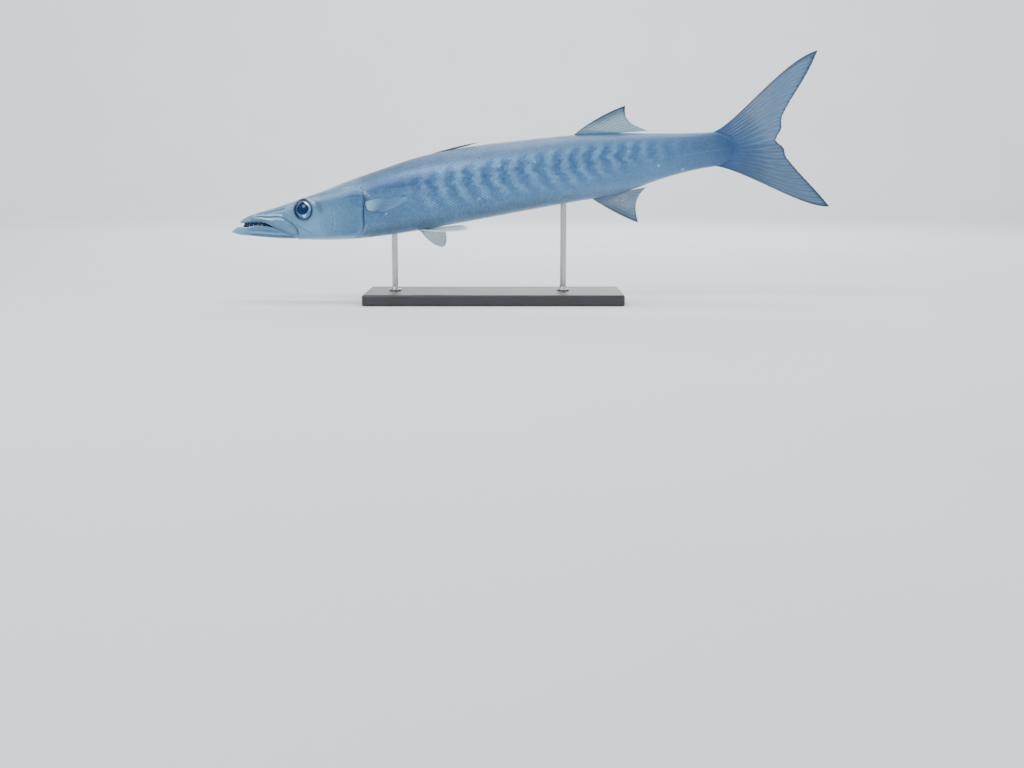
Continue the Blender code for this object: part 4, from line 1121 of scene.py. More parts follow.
@dataclass
class LowerJaw:
    """The lower jaw: its skin from the tip to under the cheek, a trough on top, and the tongue in it."""

    kit: Kit
    rings: int = 150
    end: float = 0.118
    inset: float = 0.0006
    lid_points: int = 26
    side_points: int = 60
    trough: float = 0.0032
    lip_bulge: float = 0.0007
    lip_band: float = 0.0026
    tongue: Triple = (0.0196, 0.0990, 0.62)

    def build(self) -> None:
        """Builds the jaw's skin and the tongue."""
        form = self.kit.form
        tip = 0.006 * np.linspace(0, 1, 14) ** 2.2 + 0.00002
        s = np.concatenate([tip, np.linspace(0.0068, self.end, self.rings)])[:, None]
        lip = form.lower_lip(s)
        corner = np.clip(form.angle_at(s, lip), -80, 60)
        sunk = -self.inset * step(0.075, 0.095, s) - 0.0042 * step(0.094, self.end, s)
        edge = form.section(s, corner, sunk)[..., 1:2][..., 0]
        share = np.linspace(0, 1, self.lid_points + 1)[None, :-1]
        fall = self.trough * (1 - share**3) * step(0.003, 0.014, s) * (1 - step(0.090, 0.108, s))
        roll = 0.0005 * hump(share, 0.93, 0.05) * step(0.004, 0.014, s)
        lid = np.stack([s + 0 * share, edge * share, lip - fall + roll], -1)
        angles = corner + (-90 - corner) * np.linspace(0, 1, self.side_points)[None]
        plain = form.section(s, angles)
        crease = Stroke(JAW_CREASE, 0.0010, -0.0005)
        under = Stroke(
            ((0.028, -0.0098), (0.045, -0.0135), (0.0625, -0.0185), (0.0865, -0.0250), (0.105, -0.0310)),
                       0.0014, 0.0005)
        drawn = sum(-line.depth * line.share(plain[..., 0], plain[..., 2]) for line in (crease, under))
        arc = form.section(s, angles, sunk + drawn)
        near_lip = np.clip(1 - np.abs(lip - arc[..., 2] - self.lip_band / 2) / self.lip_band, 0, 1)
        bulge = np.sqrt(near_lip) * (1 - step(0.06, 0.080, s)) * (arc[..., 1] > self.lip_bulge)
        arc[..., 1] += self.lip_bulge * bulge
        arc[..., 2] = np.minimum(arc[..., 2], lip)
        halves = np.concatenate([lid, arc], 1)
        halves[:, [0, -1], 1] = 0.0
        lining = np.concatenate([step(0.97, 0.86, share) * np.ones_like(s), np.zeros_like(angles)], 1)
        halves = np.concatenate([halves, np.concatenate([corner + 0 * share, angles], 1)[..., None],
                                 lining[..., None]], -1)
        points, faces = closed_loft(halves)
        straight = points[..., :3]
        colour = self.paint_jaw(straight, points[..., 3])
        mesh_piece(
            "jaw_skin",
            form.place(straight),
            faces,
            self.kit.skin,
            {"marking": colour.reshape(-1, 4), "lining": points[..., 4].ravel()},
            ("jaw_lower",),
        )
        self.build_tongue()

    def paint_jaw(self, points: Array, angle: Array) -> Array:
        """The head's paint, with a pale line along the side, a darker band under it and a pale tip. The pale
        line, the pale tip, the lip's top edge and a glint near the mouth's corner are painted highlights, and
        the underside has painted shade.
        """
        s, z = points[..., 0], points[..., 2]
        colour = self.kit.painted(s, z, np.minimum(angle, -5))
        pale = Stroke(JAW_CREASE, 0.0012, 0.0).share(s, z)
        lip = self.kit.form.lower_lip(s)
        band = step(0.0, -0.004, z - lip + 0.004) * step(-0.0105, -0.006, z - lip) * step(0.01, 0.03, s)
        # Painted light on the jaw: the pale line on the crease's ridge, the pale tip, the bright top edge of
        # the lip and the spot near the mouth's corner are painted highlights, and the darker underside is
        # painted shade.
        for tone, share in (
            (paint(70, 112, 154), step(0.012, 0.04, s) * 0.85),
            (paint(44, 80, 122), band * step(0.030, 0.050, s) * 0.62),
            (paint(150, 192, 220), pale * 0.5),
            (paint(150, 188, 212), step(0.012, 0.002, s) * 0.5),
            (paint(184, 220, 236), step(-0.0020, -0.0006, z - lip) * step(0.050, 0.030, s) * 0.8),
            (paint(36, 72, 116), step(-30, -66, angle) * step(0.015, 0.04, s) * 0.55),
            (paint(200, 228, 240), hump(np.hypot(s - 0.0885, z + 0.0182), 0.0, 0.0016) * 0.8),
        ):
            colour[..., :3] = blend(colour[..., :3], tone, share)
        return colour

    def build_tongue(self) -> None:
        """A long arched tongue: ovals from the trough to just under the palate, narrowing to a rounded tip.

        Its half width is a share of the lip's, times the root of 1 - (1 - 7t)**2 with 7t at most 1, and it has
        a middle groove.
        """
        form = self.kit.form
        first, last, share = self.tongue
        t = np.linspace(0.0, 1.0, 60)[:, None]
        turn = np.linspace(0, 2 * np.pi, 36, endpoint=False)[None]
        s = first + (last - first) * t
        tip = np.sqrt(np.clip(1 - (1 - np.clip(t * 7, 0, 1)) ** 2, 0.001, 1)) * (1 - step(0.90, 1.0, t) * 0.8)
        wide = share * form.side_point(s, form.lower_lip(s))[..., 1] * tip
        low, high = form.lower_lip(s) - self.trough * step(0.098, 0.080, s), form.upper_lip(s) + 0.0016
        y = wide * np.sign(np.cos(turn)) * np.abs(np.cos(turn)) ** 0.8
        z = low + (high - low) * tip * (0.5 + 0.5 * np.sin(turn))
        z = z - 0.0008 * hump(y / wide, 0, 0.2) * (np.sin(turn) > 0)
        points = np.stack([s + 0 * turn, y, z + 0 * s], -1)
        rows, around = points.shape[:2]
        ends = np.stack([points[0].mean(0), points[-1].mean(0)])
        index = np.arange(around)
        caps = [
            np.stack([np.full(around, rows * around), (index + 1) % around, index], 1),
            np.stack(
                [np.full(around, rows * around + 1), (rows - 1) * around + index,
                 (rows - 1) * around + (index + 1) % around], 1),
        ]
        every = np.concatenate([points.reshape(-1, 3), ends])
        faces = np.concatenate([grid_faces(rows, around, True), *caps])
        mesh_piece("tongue", form.place(every), faces, self.kit.flesh)


@dataclass
class Maxilla:
    """The upper jaw bone of each side: a thin plate with rolled edges and a strengthening ridge."""

    kit: Kit
    columns: int = 130
    rows: int = 26
    inner: float = 0.0004
    thickness: float = 0.0019

    def build(self, side: Side) -> None:
        """Builds one plate: its height is a power of the share across, and it fades in at the front."""
        form = self.kit.form
        top, bottom = smooth_line(MAXILLA_TOP), smooth_line(MAXILLA_BOTTOM)
        first, last = MAXILLA_TOP[0][0], MAXILLA_TOP[-1][0]
        run = np.linspace(0, 1, self.columns)[:, None]
        s = first + (last - first) * (1 - (1 - run) ** 1.5)
        ease = np.sin(np.linspace(-np.pi / 2, np.pi / 2, self.rows))[None] / 2 + 0.5
        round_end = np.sqrt(np.clip(1 - (np.clip(s - 0.101, 0, None) / (last - 0.101)) ** 2.4, 0.002, 1))
        middle = (top(s) + bottom(s)) / 2
        z = middle + (bottom(s) - middle + (top(s) - bottom(s)) * ease) * round_end
        crown = np.clip(1 - np.abs(2 * ease - 1) ** 3.0, 0.0, 1) ** 0.5
        front = step(0.0, 0.28, run)
        rear = np.sqrt(np.clip(1 - (np.clip(run - 0.80, 0, None) / 0.20) ** 3, 0, 1))
        ridge = 0.0004 * hump(ease, 0.74, 0.10) - 0.0003 * hump(ease, 0.56, 0.10)
        height = self.inner + (self.thickness - self.inner) * crown * (0.35 + 0.65 * front) * rear
        height = height + ridge * front * rear * step(0.10, 0.25, ease)
        height = (height + 0.0004) * step(0.0, 0.10, run) - 0.0004
        outer = form.side_point(s, z, height) * side.turn
        inner = form.side_point(s, z, -0.0008 * np.ones_like(z)) * side.turn
        points, faces = closed_sheet(outer, inner)
        angle = form.angle_at(s, z)
        colour = self.kit.painted(s + 0 * z, z, angle)[..., :3]
        bare = np.broadcast_to(paint(92, 134, 168), colour.shape)
        # Painted light on the plate: painted shade on its lower part, a painted highlight near the top at the
        # front, a paler painted highlight along the top, and painted shade along both edges.
        colour = blend(bare, paint(40, 74, 116), step(0.40, 0.0, ease) * (0.45 + 0.3 * step(0.6, 0.3, run)))
        colour = blend(colour, paint(196, 232, 244), hump(ease, 0.78, 0.13) * hump(run, 0.27, 0.11) * 0.95)
        colour = blend(colour, paint(150, 184, 204), hump(ease, 0.90, 0.08) * step(0.95, 0.3, run) * 0.4)
        colour = blend(colour, paint(24, 48, 82), step(0.05, 0.0, ease * (1 - ease)) * 0.6 * np.ones_like(z))
        colour = np.concatenate([colour, np.ones((*z.shape, 1))], -1)
        both = np.concatenate([colour.reshape(-1, 4)] * 2)
        mesh_piece(
            f"maxilla_plate_{side.label}",
            form.place(points),
            faces,
            self.kit.skin,
            {"marking": both, "lining": np.zeros(len(points))},
            (f"maxilla_{side.label}",),
        )


@dataclass
class Eye:
    """An eye and the raised rim of its orbit."""

    kit: Kit
    turns: int = 128

    def build(self, side: Side) -> None:
        """Builds the eyeball of one side as an ellipsoid, and the rim round it."""
        form = self.kit.form
        centre, axes = form.eye_frame(side)
        radii = np.array(form.eye_radii)
        turn = np.linspace(0, 2 * np.pi, self.turns, endpoint=False)[None]
        ahead, behind = np.linspace(0.001, np.pi / 2, 64), np.linspace(np.pi / 2, np.pi - 0.001, 12)
        tilt = np.concatenate([ahead, behind[1:]])
        tilt = tilt[:, None]
        local = np.stack(
            [np.sin(tilt) * np.cos(turn), np.sin(tilt) * np.sin(turn), np.cos(tilt) + 0 * turn], -1
        )
        middle = centre + axes[2] * (form.eye_proud - radii[2])
        points = middle + (local * radii) @ axes
        rows, around = points.shape[:2]
        index = np.arange(around)
        following = (index + 1) % around
        hub = rows * around
        faces = np.concatenate(
            [
                grid_faces(rows, around, True),
                np.stack([np.full(around, hub), following, index], 1),
                np.stack([np.full(around, hub + 1), hub - around + index, hub - around + following], 1),
            ]
        )
        poles = np.stack([middle + axes[2] * radii[2], middle - axes[2] * radii[2]])
        flat = local.copy()
        flat[..., 2] = np.cos(tilt)
        iris = np.concatenate([flat.reshape(-1, 3), [[0, 0, 1], [0, 0, -1]]])
        every = np.concatenate([points.reshape(-1, 3), poles])
        name = f"eyeball_{side.label}"
        mesh_piece(
            name, form.place(every), faces, self.kit.eye, {"iris": iris}, (f"eye_{side.label}",)
        )
        self.build_rim(side, centre, axes, radii)

    def build_rim(self, side: Side, centre: Array, axes: Array, radii: Array) -> None:
        """A ring whose profile rises from the head's skin to a crest and turns down onto the eyeball.

        Args:
            side: The eye's side.
            centre: The middle of the eye's opening.
            axes: The eye's axes as rows.
            radii: The eyeball's radii.
        """
        form = self.kit.form
        turn = np.linspace(0, 2 * np.pi, self.turns, endpoint=False)[:, None]
        # Reach in eye radii, height over the head, and how much of it follows the eyeball.
        profile = np.array(
            [
                (0.925, -0.0008, 1.0), (0.945, 0.0001, 1.0), (0.970, 0.0007, 0.9), (1.000, 0.0010, 0.62),
                (1.030, 0.0007, 0.30), (1.065, 0.0006, 0.08), (1.100, 0.0008, 0.0), (1.140, 0.0009, 0.0),
                (1.190, 0.0008, 0.0), (1.235, 0.0005, 0.0), (1.280, -0.0004, 0.0), (1.325, -0.0016, 0.0),
                (1.200, -0.0030, 0.0), (1.060, -0.0048, 0.2), (0.960, -0.0040, 0.8),
            ]
        )
        reach, height, held = profile.T[:, None]
        brow = 1 + 0.05 * np.clip(np.sin(turn), 0, 1) - 0.03 * np.clip(-np.sin(turn), 0, 1)
        wide = 1 + (reach - 1) * brow
        x, y = np.cos(turn) * radii[0] * wide, np.sin(turn) * radii[1] * wide
        s, z = form.eye[0] + x, form.eye[1] + y * math.cos(form.eye_up)
        skin = form.side_point(s, z, height + self.kit.relief(s, form.angle_at(s, z), z)) * side.turn
        under = np.sqrt(np.clip(1 - np.minimum(reach, 0.995) ** 2, 0, 1)) * radii[2]
        lift = form.eye_proud - radii[2] + under + 0.0002 + height * 0.6
        ball = centre + np.stack([x, y, lift + 0 * x], -1) @ axes
        points = blend(skin, ball, held + 0 * x)
        rows, around = points.shape[:2]
        faces = grid_faces(rows, around, True)
        wrap = np.stack([np.arange(around), (np.arange(around) + 1) % around], 1)
        last = (rows - 1) * around
        joint = np.concatenate(
            [
                np.stack([last + wrap[:, 0], last + wrap[:, 1], wrap[:, 1]], 1),
                np.stack([last + wrap[:, 0], wrap[:, 1], wrap[:, 0]], 1),
            ]
        )
        colour = self.kit.painted(
            points[..., 0], points[..., 2], form.angle_at(points[..., 0], points[..., 2])
        )
        # Painted shade darkens the rim towards the eye, in the orbit's crease, and a painted highlight pales
        # its crest on the upper side.
        dark = step(1.20, 1.04, reach) * np.ones_like(x)
        colour[..., :3] = blend(colour[..., :3], paint(24, 40, 66), dark * 0.85)
        glint = hump(reach, 1.20, 0.03) * np.clip(np.sin(turn + 0.5), 0, 1)
        colour[..., :3] = blend(colour[..., :3], paint(140, 172, 196), glint * 0.35)
        mesh_piece(
            f"orbit_rim_{side.label}",
            form.place(points),
            np.concatenate([faces, joint]),
            self.kit.skin,
            {"marking": colour.reshape(-1, 4), "lining": np.zeros(rows * around)},
        )


@dataclass
class Nostrils:
    """The two nostrils of each side, as small raised craters with dark pits. The pits are painted dark as
    painted shade, and a painted highlight lies on the lower outer slope of each lip.
    """

    kit: Kit
    places: tuple[Triple, ...] = ((0.0968, 0.0228, 0.0011), (0.1010, 0.0240, 0.0017))

    def build(self) -> None:
        """Four craters in one piece. Each is a ring whose profile climbs to a lip and falls into a pit."""
        form = self.kit.form
        turn = np.linspace(0, 2 * np.pi, 28, endpoint=False)[None, :]
        profile = np.array(
            [(0.02, -0.9), (0.55, -0.85), (0.78, -0.3), (0.92, 0.25), (1.12, 0.48), (1.4, 0.38), (1.75, 0.10),
             (2.1, -0.25), (1.2, -1.3), (0.02, -1.4)]
        )
        reach, height = profile[:, :1], profile[:, 1:]
        every, triangles, colours = [], [], []
        for s0, z0, radius in self.places:
            for side in Side:
                s = s0 + np.cos(turn) * reach * radius * 1.15
                middle = form.angle_at(np.array([s0]), np.array([z0]))
                degree = np.linalg.norm(np.diff(form.section(s0, middle + np.array([-0.5, 0.5])), axis=0))
                angle = middle + np.sin(turn) * reach * radius * 0.85 / degree
                z = form.section(s, angle)[..., 2]
                out = height * radius * 0.75 + self.kit.relief(s, angle, z)
                points = form.section(s, angle, out) * side.turn
                rows, around = points.shape[:2]
                base = sum(len(part) for part in every)
                colour = self.kit.painted(s, z, angle)
                # Painted shade darkens each pit, and a painted highlight lies on the lower outer slope of its
                # lip.
                colour[..., :3] = blend(colour[..., :3], paint(12, 18, 28), step(0.95, 0.7, reach) + 0 * s)
                pale = hump(reach, 1.25, 0.3) * 0.5 * step(0.5, -1.0, np.sin(turn))
                colour[..., :3] = blend(colour[..., :3], paint(170, 198, 212), pale)
                faces = grid_faces(rows, around, True)
                fan = np.arange(1, around - 1)
                caps = [
                    np.stack([np.zeros_like(fan), fan + 1, fan], 1),
                    np.stack([np.zeros_like(fan), fan, fan + 1], 1) + (rows - 1) * around,
                ]
                faces = np.concatenate([faces, *caps])
                triangles.append((faces if side is Side.RIGHT else faces[:, ::-1]) + base)
                every.append(points.reshape(-1, 3))
                colours.append(colour.reshape(-1, 4))
        points = np.concatenate(every)
        attributes = {"marking": np.concatenate(colours), "lining": np.zeros(len(points))}
        mesh_piece(
            "nostrils", form.place(points), np.concatenate(triangles), self.kit.skin, attributes
        )


@dataclass
class ToothRow:
    """The teeth of one jaw: lancets of uneven length down both sides, and a pair of fangs in front."""

    kit: Kit
    name: str
    lip: Line
    row: tuple[float, float, int, float]
    fang: tuple[float, float]
    inset: float
    sign: int
    seed: int
    rings: int = 9
    around: int = 10

    def build(self) -> None:
        """Each tooth is a flattened cone whose middle line leans back with the square of its share."""
        form = self.kit.form
        first, last, count, length = self.row
        draw = np.random.default_rng(self.seed)
        s = np.linspace(first, last, count) + draw.uniform(-0.0006, 0.0006, count)
        wave = 0.75 + 0.35 * np.sin(np.pi * np.arange(count) / (count - 1))
        size = length * wave * np.where(np.arange(count) % 2 == 0, 1.0, 0.62) * draw.uniform(0.9, 1.08, count)
        s, size = np.append(s, self.fang[0]), np.append(size, self.fang[1])
        root_y = form.side_point(s, self.lip(s))[:, 1] - self.inset
        sides = np.repeat([1.0, -1.0], len(s))
        s, size, root_y = np.tile(s, 2), np.tile(size, 2), np.tile(root_y, 2)
        t = np.linspace(0, 0.985, self.rings)[None, :, None]
        turn = np.linspace(0, 2 * np.pi, self.around, endpoint=False)[None, None, :]
        long = size[:, None, None]
        girth = long * 0.25 * (1 - t) ** 0.75 + 0.00004
        x = s[:, None, None] + girth * np.cos(turn) + long * 0.22 * t**2
        y = sides[:, None, None] * (root_y[:, None, None] + girth * 0.62 * np.sin(turn) - long * 0.05 * t)
        z = self.lip(s)[:, None, None] + self.sign * (long * t * 1.25 - 0.0016) + 0 * turn
        points = np.stack(np.broadcast_arrays(x, y, z), -1)
        teeth, rings, around = points.shape[:3]
        fan = np.arange(1, around - 1)
        one = np.concatenate(
            [
                grid_faces(rings, around, True),
                np.stack([np.zeros_like(fan), fan + 1, fan], 1),
                np.stack([np.zeros_like(fan), fan, fan + 1], 1) + (rings - 1) * around,
            ]
        )
        offsets = (np.arange(teeth) * rings * around)[:, None, None]
        faces = np.broadcast_to(one, (teeth, *one.shape)) + offsets
        half = teeth // 2
        faces = np.concatenate([faces[:half].reshape(-1, 3), faces[half:, :, ::-1].reshape(-1, 3)])
        tip = np.broadcast_to(t, points.shape[:3]).ravel()
        mesh_piece(self.name, form.place(points), faces, self.kit.tooth, {"tip": tip})


# Where each side's coat is parted, so that every piece stays under 200,000 triangles
COAT_SPLIT = 0.60


@dataclass
class ScaleCoat:
    """Overlapping scales: closed lens-shaped plates in a staggered lattice, each tilted off the skin."""

    kit: Kit
    rows: int
    column_ratio: float
    start: float
    end: float
    length: float
    width: float
    front_height: float
    rear_height: float
    dome: float
    seed: int
    lightness: float = 1.0
    rim_points: int = 10
    patch: float = 0.0014

    def half_girth(self, s: Array) -> Array:
        """The length round half the section at each s: the sum of its short straight pieces."""
        angles = np.linspace(90, -90, 181)
        ring = self.kit.form.section(np.asarray(s, float)[:, None], angles)
        return np.linalg.norm(np.diff(ring, axis=1), axis=-1).sum(1)

    def columns(self) -> Array:
        """s of every column: the running sum of 1 / (ratio * row width) grows by one to the next."""
        s = np.linspace(self.start, self.end, 1500)
        width = 2 * self.half_girth(s) / self.rows
        shares = np.diff(s) / (self.column_ratio * (width[1:] + width[:-1]) / 2)
        number = np.concatenate([[0], np.cumsum(shares)])
        return np.interp(np.arange(int(number[-1]) + 1), number, s)

    def angle_of(self, s: Array, share: Array) -> Array:
        """The section angle at a share of the way round from the back to the belly, from a table over s."""
        places = np.linspace(self.start, self.end, 120)
        angles = np.linspace(90, -90, 361)
        ring = self.kit.form.section(places[:, None], angles)
        run = np.linalg.norm(np.diff(ring, axis=1), axis=-1)
        run = np.concatenate([np.zeros((len(places), 1)), np.cumsum(run, 1)], 1)
        even = np.linspace(0, 1, 257)
        table = np.stack([np.interp(even, line / line[-1], angles) for line in run])
        i = np.clip((s - self.start) / (self.end - self.start) * 119, 0, 118.999)
        j = np.clip(share * 256, 0, 255.999)
        i0, j0 = i.astype(int), j.astype(int)
        a, b = i - i0, j - j0
        low = table[i0, j0] * (1 - b) + table[i0, j0 + 1] * b
        return low * (1 - a) + (table[i0 + 1, j0] * (1 - b) + table[i0 + 1, j0 + 1] * b) * a

    def lattice(self) -> tuple[Array, Array, Array, Array]:
        """The scales' places: every second column is shifted by half a row.

        Returns:
            s, share round the half section, sign of y, and the spacing of the columns there.
        """
        s = self.columns()
        half = self.rows // 2
        spacing = np.gradient(s)
        even, odd = s[::2], s[1::2]
        shares = (np.arange(half) + 0.5) / half
        joints = np.arange(1, half) / half
        made = []
        for places, gaps, across in ((even, spacing[::2], shares), (odd, spacing[1::2], joints)):
            grid_s, grid_f = np.meshgrid(places, across, indexing="ij")
            grid_d = np.broadcast_to(gaps[:, None], grid_s.shape)
            for sign in (1.0, -1.0):
                made.append([grid_s.ravel(), grid_f.ravel(), np.full(grid_s.size, sign), grid_d.ravel()])
        for share in (0.0, 1.0):
            made.append([odd, np.full(len(odd), share), np.ones(len(odd)), spacing[1::2]])
        return tuple(np.concatenate(parts) for parts in zip(*made))

    def inside(self, s: Array, angle: Array) -> tuple[Array, Array]:
        """Where scales stand: behind the gill margin and on to the base of the tail fin.

        Returns:
            How far each place lies inside the coat's edge, below 0 outside, and how far inside the part of the
            edge where the scales sink into the skin.
        """
        form = self.kit.form
        front = s - form.gill_margin(angle) - 0.0006
        rear = form.stalk_end(angle) + 0.004 + 0.010 * np.cos(np.radians(angle)) ** 2 - s
        rear = rear + 0.0022 * np.sin(8900 * s + 37 * angle)
        nape = front + 0.1 * step(46, 36, angle)
        return np.minimum(front, rear), np.minimum(nape, rear)

    def scales(self) -> dict[str, Array]:
        """Every scale's points, colours, leaf values, bake map and place, scale by scale."""
        form = self.kit.form
        s, share, sign, gap = self.lattice()
        angle = self.angle_of(s, share)
        within, fading = self.inside(s, angle)
        keep = within > 0
        ahead = within[keep]
        sunk = 0.0007 * step(0.011, 0.0, fading[keep]) + 0.0002 * step(0.004, 0.0, ahead)
        grown = 0.62 + 0.38 * step(0.0, 0.018, fading[keep])
        s, share, sign, gap, angle = (v[keep] for v in (s, share, sign, gap, angle))
        draw = np.random.default_rng(self.seed)
        count = len(s)
        s = s + gap * draw.uniform(-0.10, 0.10, count)
        turn = np.stack([np.ones(count), sign, np.ones(count)], -1)

        raised = self.kit.relief(s, angle, form.section(s, angle)[..., 2]) + self.kit.rim(s, angle)

        def at(ds: float, da: float, out: float = 0.0) -> Array:
            point = form.section(s + ds, angle + da, raised + out)
            tail = step(0.0, 1.0, (s + ds - form.stalk_end(angle) + 0.006) / 0.019)
            point[..., 1] *= 1 - tail * 0.86
            return form.place(point * turn)

        centre = at(0.0, 0.0)
        back = unit(at(0.0005, 0.0) - at(-0.0005, 0.0))
        out = at(0.0, 0.0, 0.001) - centre
        degree = at(0.0, 0.5) - at(0.0, -0.5)
        normal = np.cross(back, unit(degree))
        out = unit(normal) * np.sign((normal * out).sum(-1, keepdims=True))
        round_ = np.cross(out, back)
        degrees = np.sign((degree * round_).sum(-1)) / np.linalg.norm(degree, axis=-1)
        row_width = 2 * self.half_girth(np.linspace(self.start, self.end, 80)) / self.rows
        row_width = np.interp(s, np.linspace(self.start, self.end, 80), row_width)
        size = draw.uniform(0.95, 1.05, count) * grown
        half_long, half_wide = gap * self.length * size, row_width * self.width * size
        phi = 2 * np.pi * np.arange(self.rim_points) / self.rim_points
        u, v = np.cos(phi), np.sin(phi) * np.where(np.cos(phi) < -0.1, 0.86, 1.0)
        flat = np.concatenate([np.stack([u, v], 1), np.stack([u, v], 1) * 0.62, [[0.0, 0.0]]])
        domed = np.concatenate([np.zeros(len(phi)), np.full(len(phi), 0.70), [1.0]])
        trimmed = np.clip(ahead / half_long, 0.08, 1.0)[:, None] * (flat[:, 0] < 0) + (flat[:, 0] >= 0)
        tilt = draw.normal(0, self.dome * 0.25, (count, 1))
        lean = draw.normal(0, self.dome * 0.30, (count, 1))
        height = self.front_height + (self.rear_height - self.front_height) * (flat[:, 0] + 1) / 2
        height = height + tilt * flat[:, 0] + lean * flat[:, 1] + self.dome * domed
        scale_s = (row_width / row_width.max())[:, None]
        height = height * (0.45 + 0.55 * scale_s) - sunk[:, None]
        points = (
            centre[:, None]
            + back[:, None] * (half_long[:, None] * flat[:, 0] * trimmed)[..., None]
            + round_[:, None] * (half_wide[:, None] * flat[:, 1])[..., None]
            + out[:, None] * height[..., None]
        )
        seen = s[:, None] + half_long[:, None] * (0.3 + 0.5 * flat[:, 0]) + draw.normal(0, 0.0007, (count, 1))
        turned = angle[:, None] + (degrees * half_wide)[:, None] * flat[:, 1] + draw.normal(0, 0.8, (count, 1))
        turned = np.clip(turned, -90, 90)
        colour = self.kit.painted(seen, form.section(seen, turned)[..., 2], turned)
        colour[..., :3] *= self.lightness
        tone = draw.uniform(0, 1, count)
        leaf = np.concatenate(
            [
                np.broadcast_to(flat, (count, *flat.shape)),
                np.broadcast_to(tone[:, None, None], (count, len(flat), 1)),
            ],
            -1,
        )
        bake_u = 0.02 + 0.95 * (s - 0.14) / 0.73
        bake_v = 0.02 + 0.95 * np.where(sign > 0, share / 2, 1 - share / 2)
        bake = np.stack([bake_u, bake_v], -1)[:, None] + flat * self.patch
        return {
            "points": points,
            "marking": colour,
            "leaf": leaf,
            "bake": bake,
            "s": s,
            "sign": sign,
        }

    def plate(self) -> Array:
        """One scale's triangles: rim to inner ring, inner ring to centre, and a flat underside."""
        n = self.rim_points
        i = np.arange(n)
        j = (i + 1) % n
        fan = np.arange(1, n - 1)
        return np.concatenate(
            [
                np.stack([i, j, j + n], 1),
                np.stack([i, j + n, i + n], 1),
                np.stack([i + n, j + n, np.full(n, 2 * n)], 1),
                np.stack([np.zeros_like(fan), fan + 1, fan], 1),
            ]
        )

    def build(self, parts: dict[str, Callable[[Array, Array], Array]]) -> None:
        """Builds the coat's pieces.

        Args:
            parts: For each piece's name, which scales it takes, by s and the sign of y.
        """
        made = self.scales()
        one = self.plate()
        each = 2 * self.rim_points + 1
        for name, chosen in parts.items():
            mask = chosen(made["s"], made["sign"])
            count = int(mask.sum())
            starts = (np.arange(count) * each)[:, None, None]
            faces = (np.broadcast_to(one, (count, *one.shape)) + starts).reshape(
                -1, 3
            )
            attributes = {
                "marking": made["marking"][mask].reshape(-1, 4),
                "leaf": made["leaf"][mask].reshape(-1, 3),
            }
            under = np.tile(np.arange(len(one)) >= 3 * self.rim_points, count)
            points = made["points"][mask].reshape(-1, 3)
            piece = mesh_piece(name, points, faces, self.kit.scale, attributes, flat=under)
            layer = piece.data.uv_layers.new(name="OFBake")
            corners = np.empty(len(piece.data.loops), np.int32)
            piece.data.loops.foreach_get("vertex_index", corners)
            layer.data.foreach_set("uv", made["bake"][mask].reshape(-1, 2)[corners].astype(np.float32).ravel())


@dataclass
class FaceScales(ScaleCoat):
    """The small scales of cheek, gill cover and nape, flush with the skin."""

    def inside(self, s: Array, angle: Array) -> tuple[Array, Array]:
        """Behind the eye, ahead of the gill's rim and clear of the throat. All edges sink but the nape's."""
        form = self.kit.form
        z = form.section(s, angle)[..., 2]
        ragged = 0.0012 * np.sin(9100 * s + 71 * angle)
        from_eye = 0.02 * np.hypot((s - form.eye[0]) / 0.0200, (z - form.eye[1]) / 0.0215) - 0.0240
        front = s - np.interp(z, (-0.045, -0.030, -0.005, 0.020, 0.035), (0.172, 0.140, 0.138, 0.146, 0.150))
        low = (angle + 66) * 0.0004
        edge = np.minimum(np.minimum(front, from_eye), low) + ragged
        rear = form.gill_margin(angle) + np.interp(angle, (36, 46), (-0.0008, 0.0140)) - s
        cover = rear + 0.1 * step(46, 36, angle)
        return np.minimum(edge, rear), np.minimum(edge * 1.4, cover * 1.3)


def bezier(corners: Array, t: Array) -> Array:
    """Points at the shares t of a cubic curve with four corner points, by Bernstein's weights."""
    a, b, c, d = (np.asarray(p, float) for p in corners)
    t = np.asarray(t, float)[..., None]
    return a * (1 - t) ** 3 + 3 * b * t * (1 - t) ** 2 + 3 * c * t * t * (1 - t) + d * t**3


def straight(start: Array, end: Array) -> list[Array]:
    """The corner points of a straight cubic curve."""
    start, end = np.asarray(start, float), np.asarray(end, float)
    return [start, start + (end - start) / 3, start + (end - start) * 2 / 3, end]


def coons(first_ray: list, last_ray: list, root: Line, tips: list, rows: int, columns: int) -> Array:
    """A Coons patch: the two ruled surfaces of facing edges, added, less the one through the corners.

    Args:
        first_ray: Corner points of the first ray.
        last_ray: Corner points of the last ray.
        root: A function from shares across to root points.
        tips: Corner points of the outer edge.
        rows: Points along the rays.
        columns: Points across them.

    Returns:
        A grid of points, shaped (rows, columns, 3).
    """
    u = np.linspace(0, 1, rows)[:, None, None]
    v = np.linspace(0, 1, columns)[None, :, None]
    first, last = bezier(first_ray, u[:, 0, 0])[:, None], bezier(last_ray, u[:, 0, 0])[:, None]
    low, high = root(v[0, :, 0])[None], bezier(tips, v[0, :, 0])[None]
    near = (1 - v) * low[:, :1] + v * low[:, -1:]
    far = (1 - v) * high[:, :1] + v * high[:, -1:]
    return (1 - v) * first + v * last + (1 - u) * low + u * high - (1 - u) * near - u * far


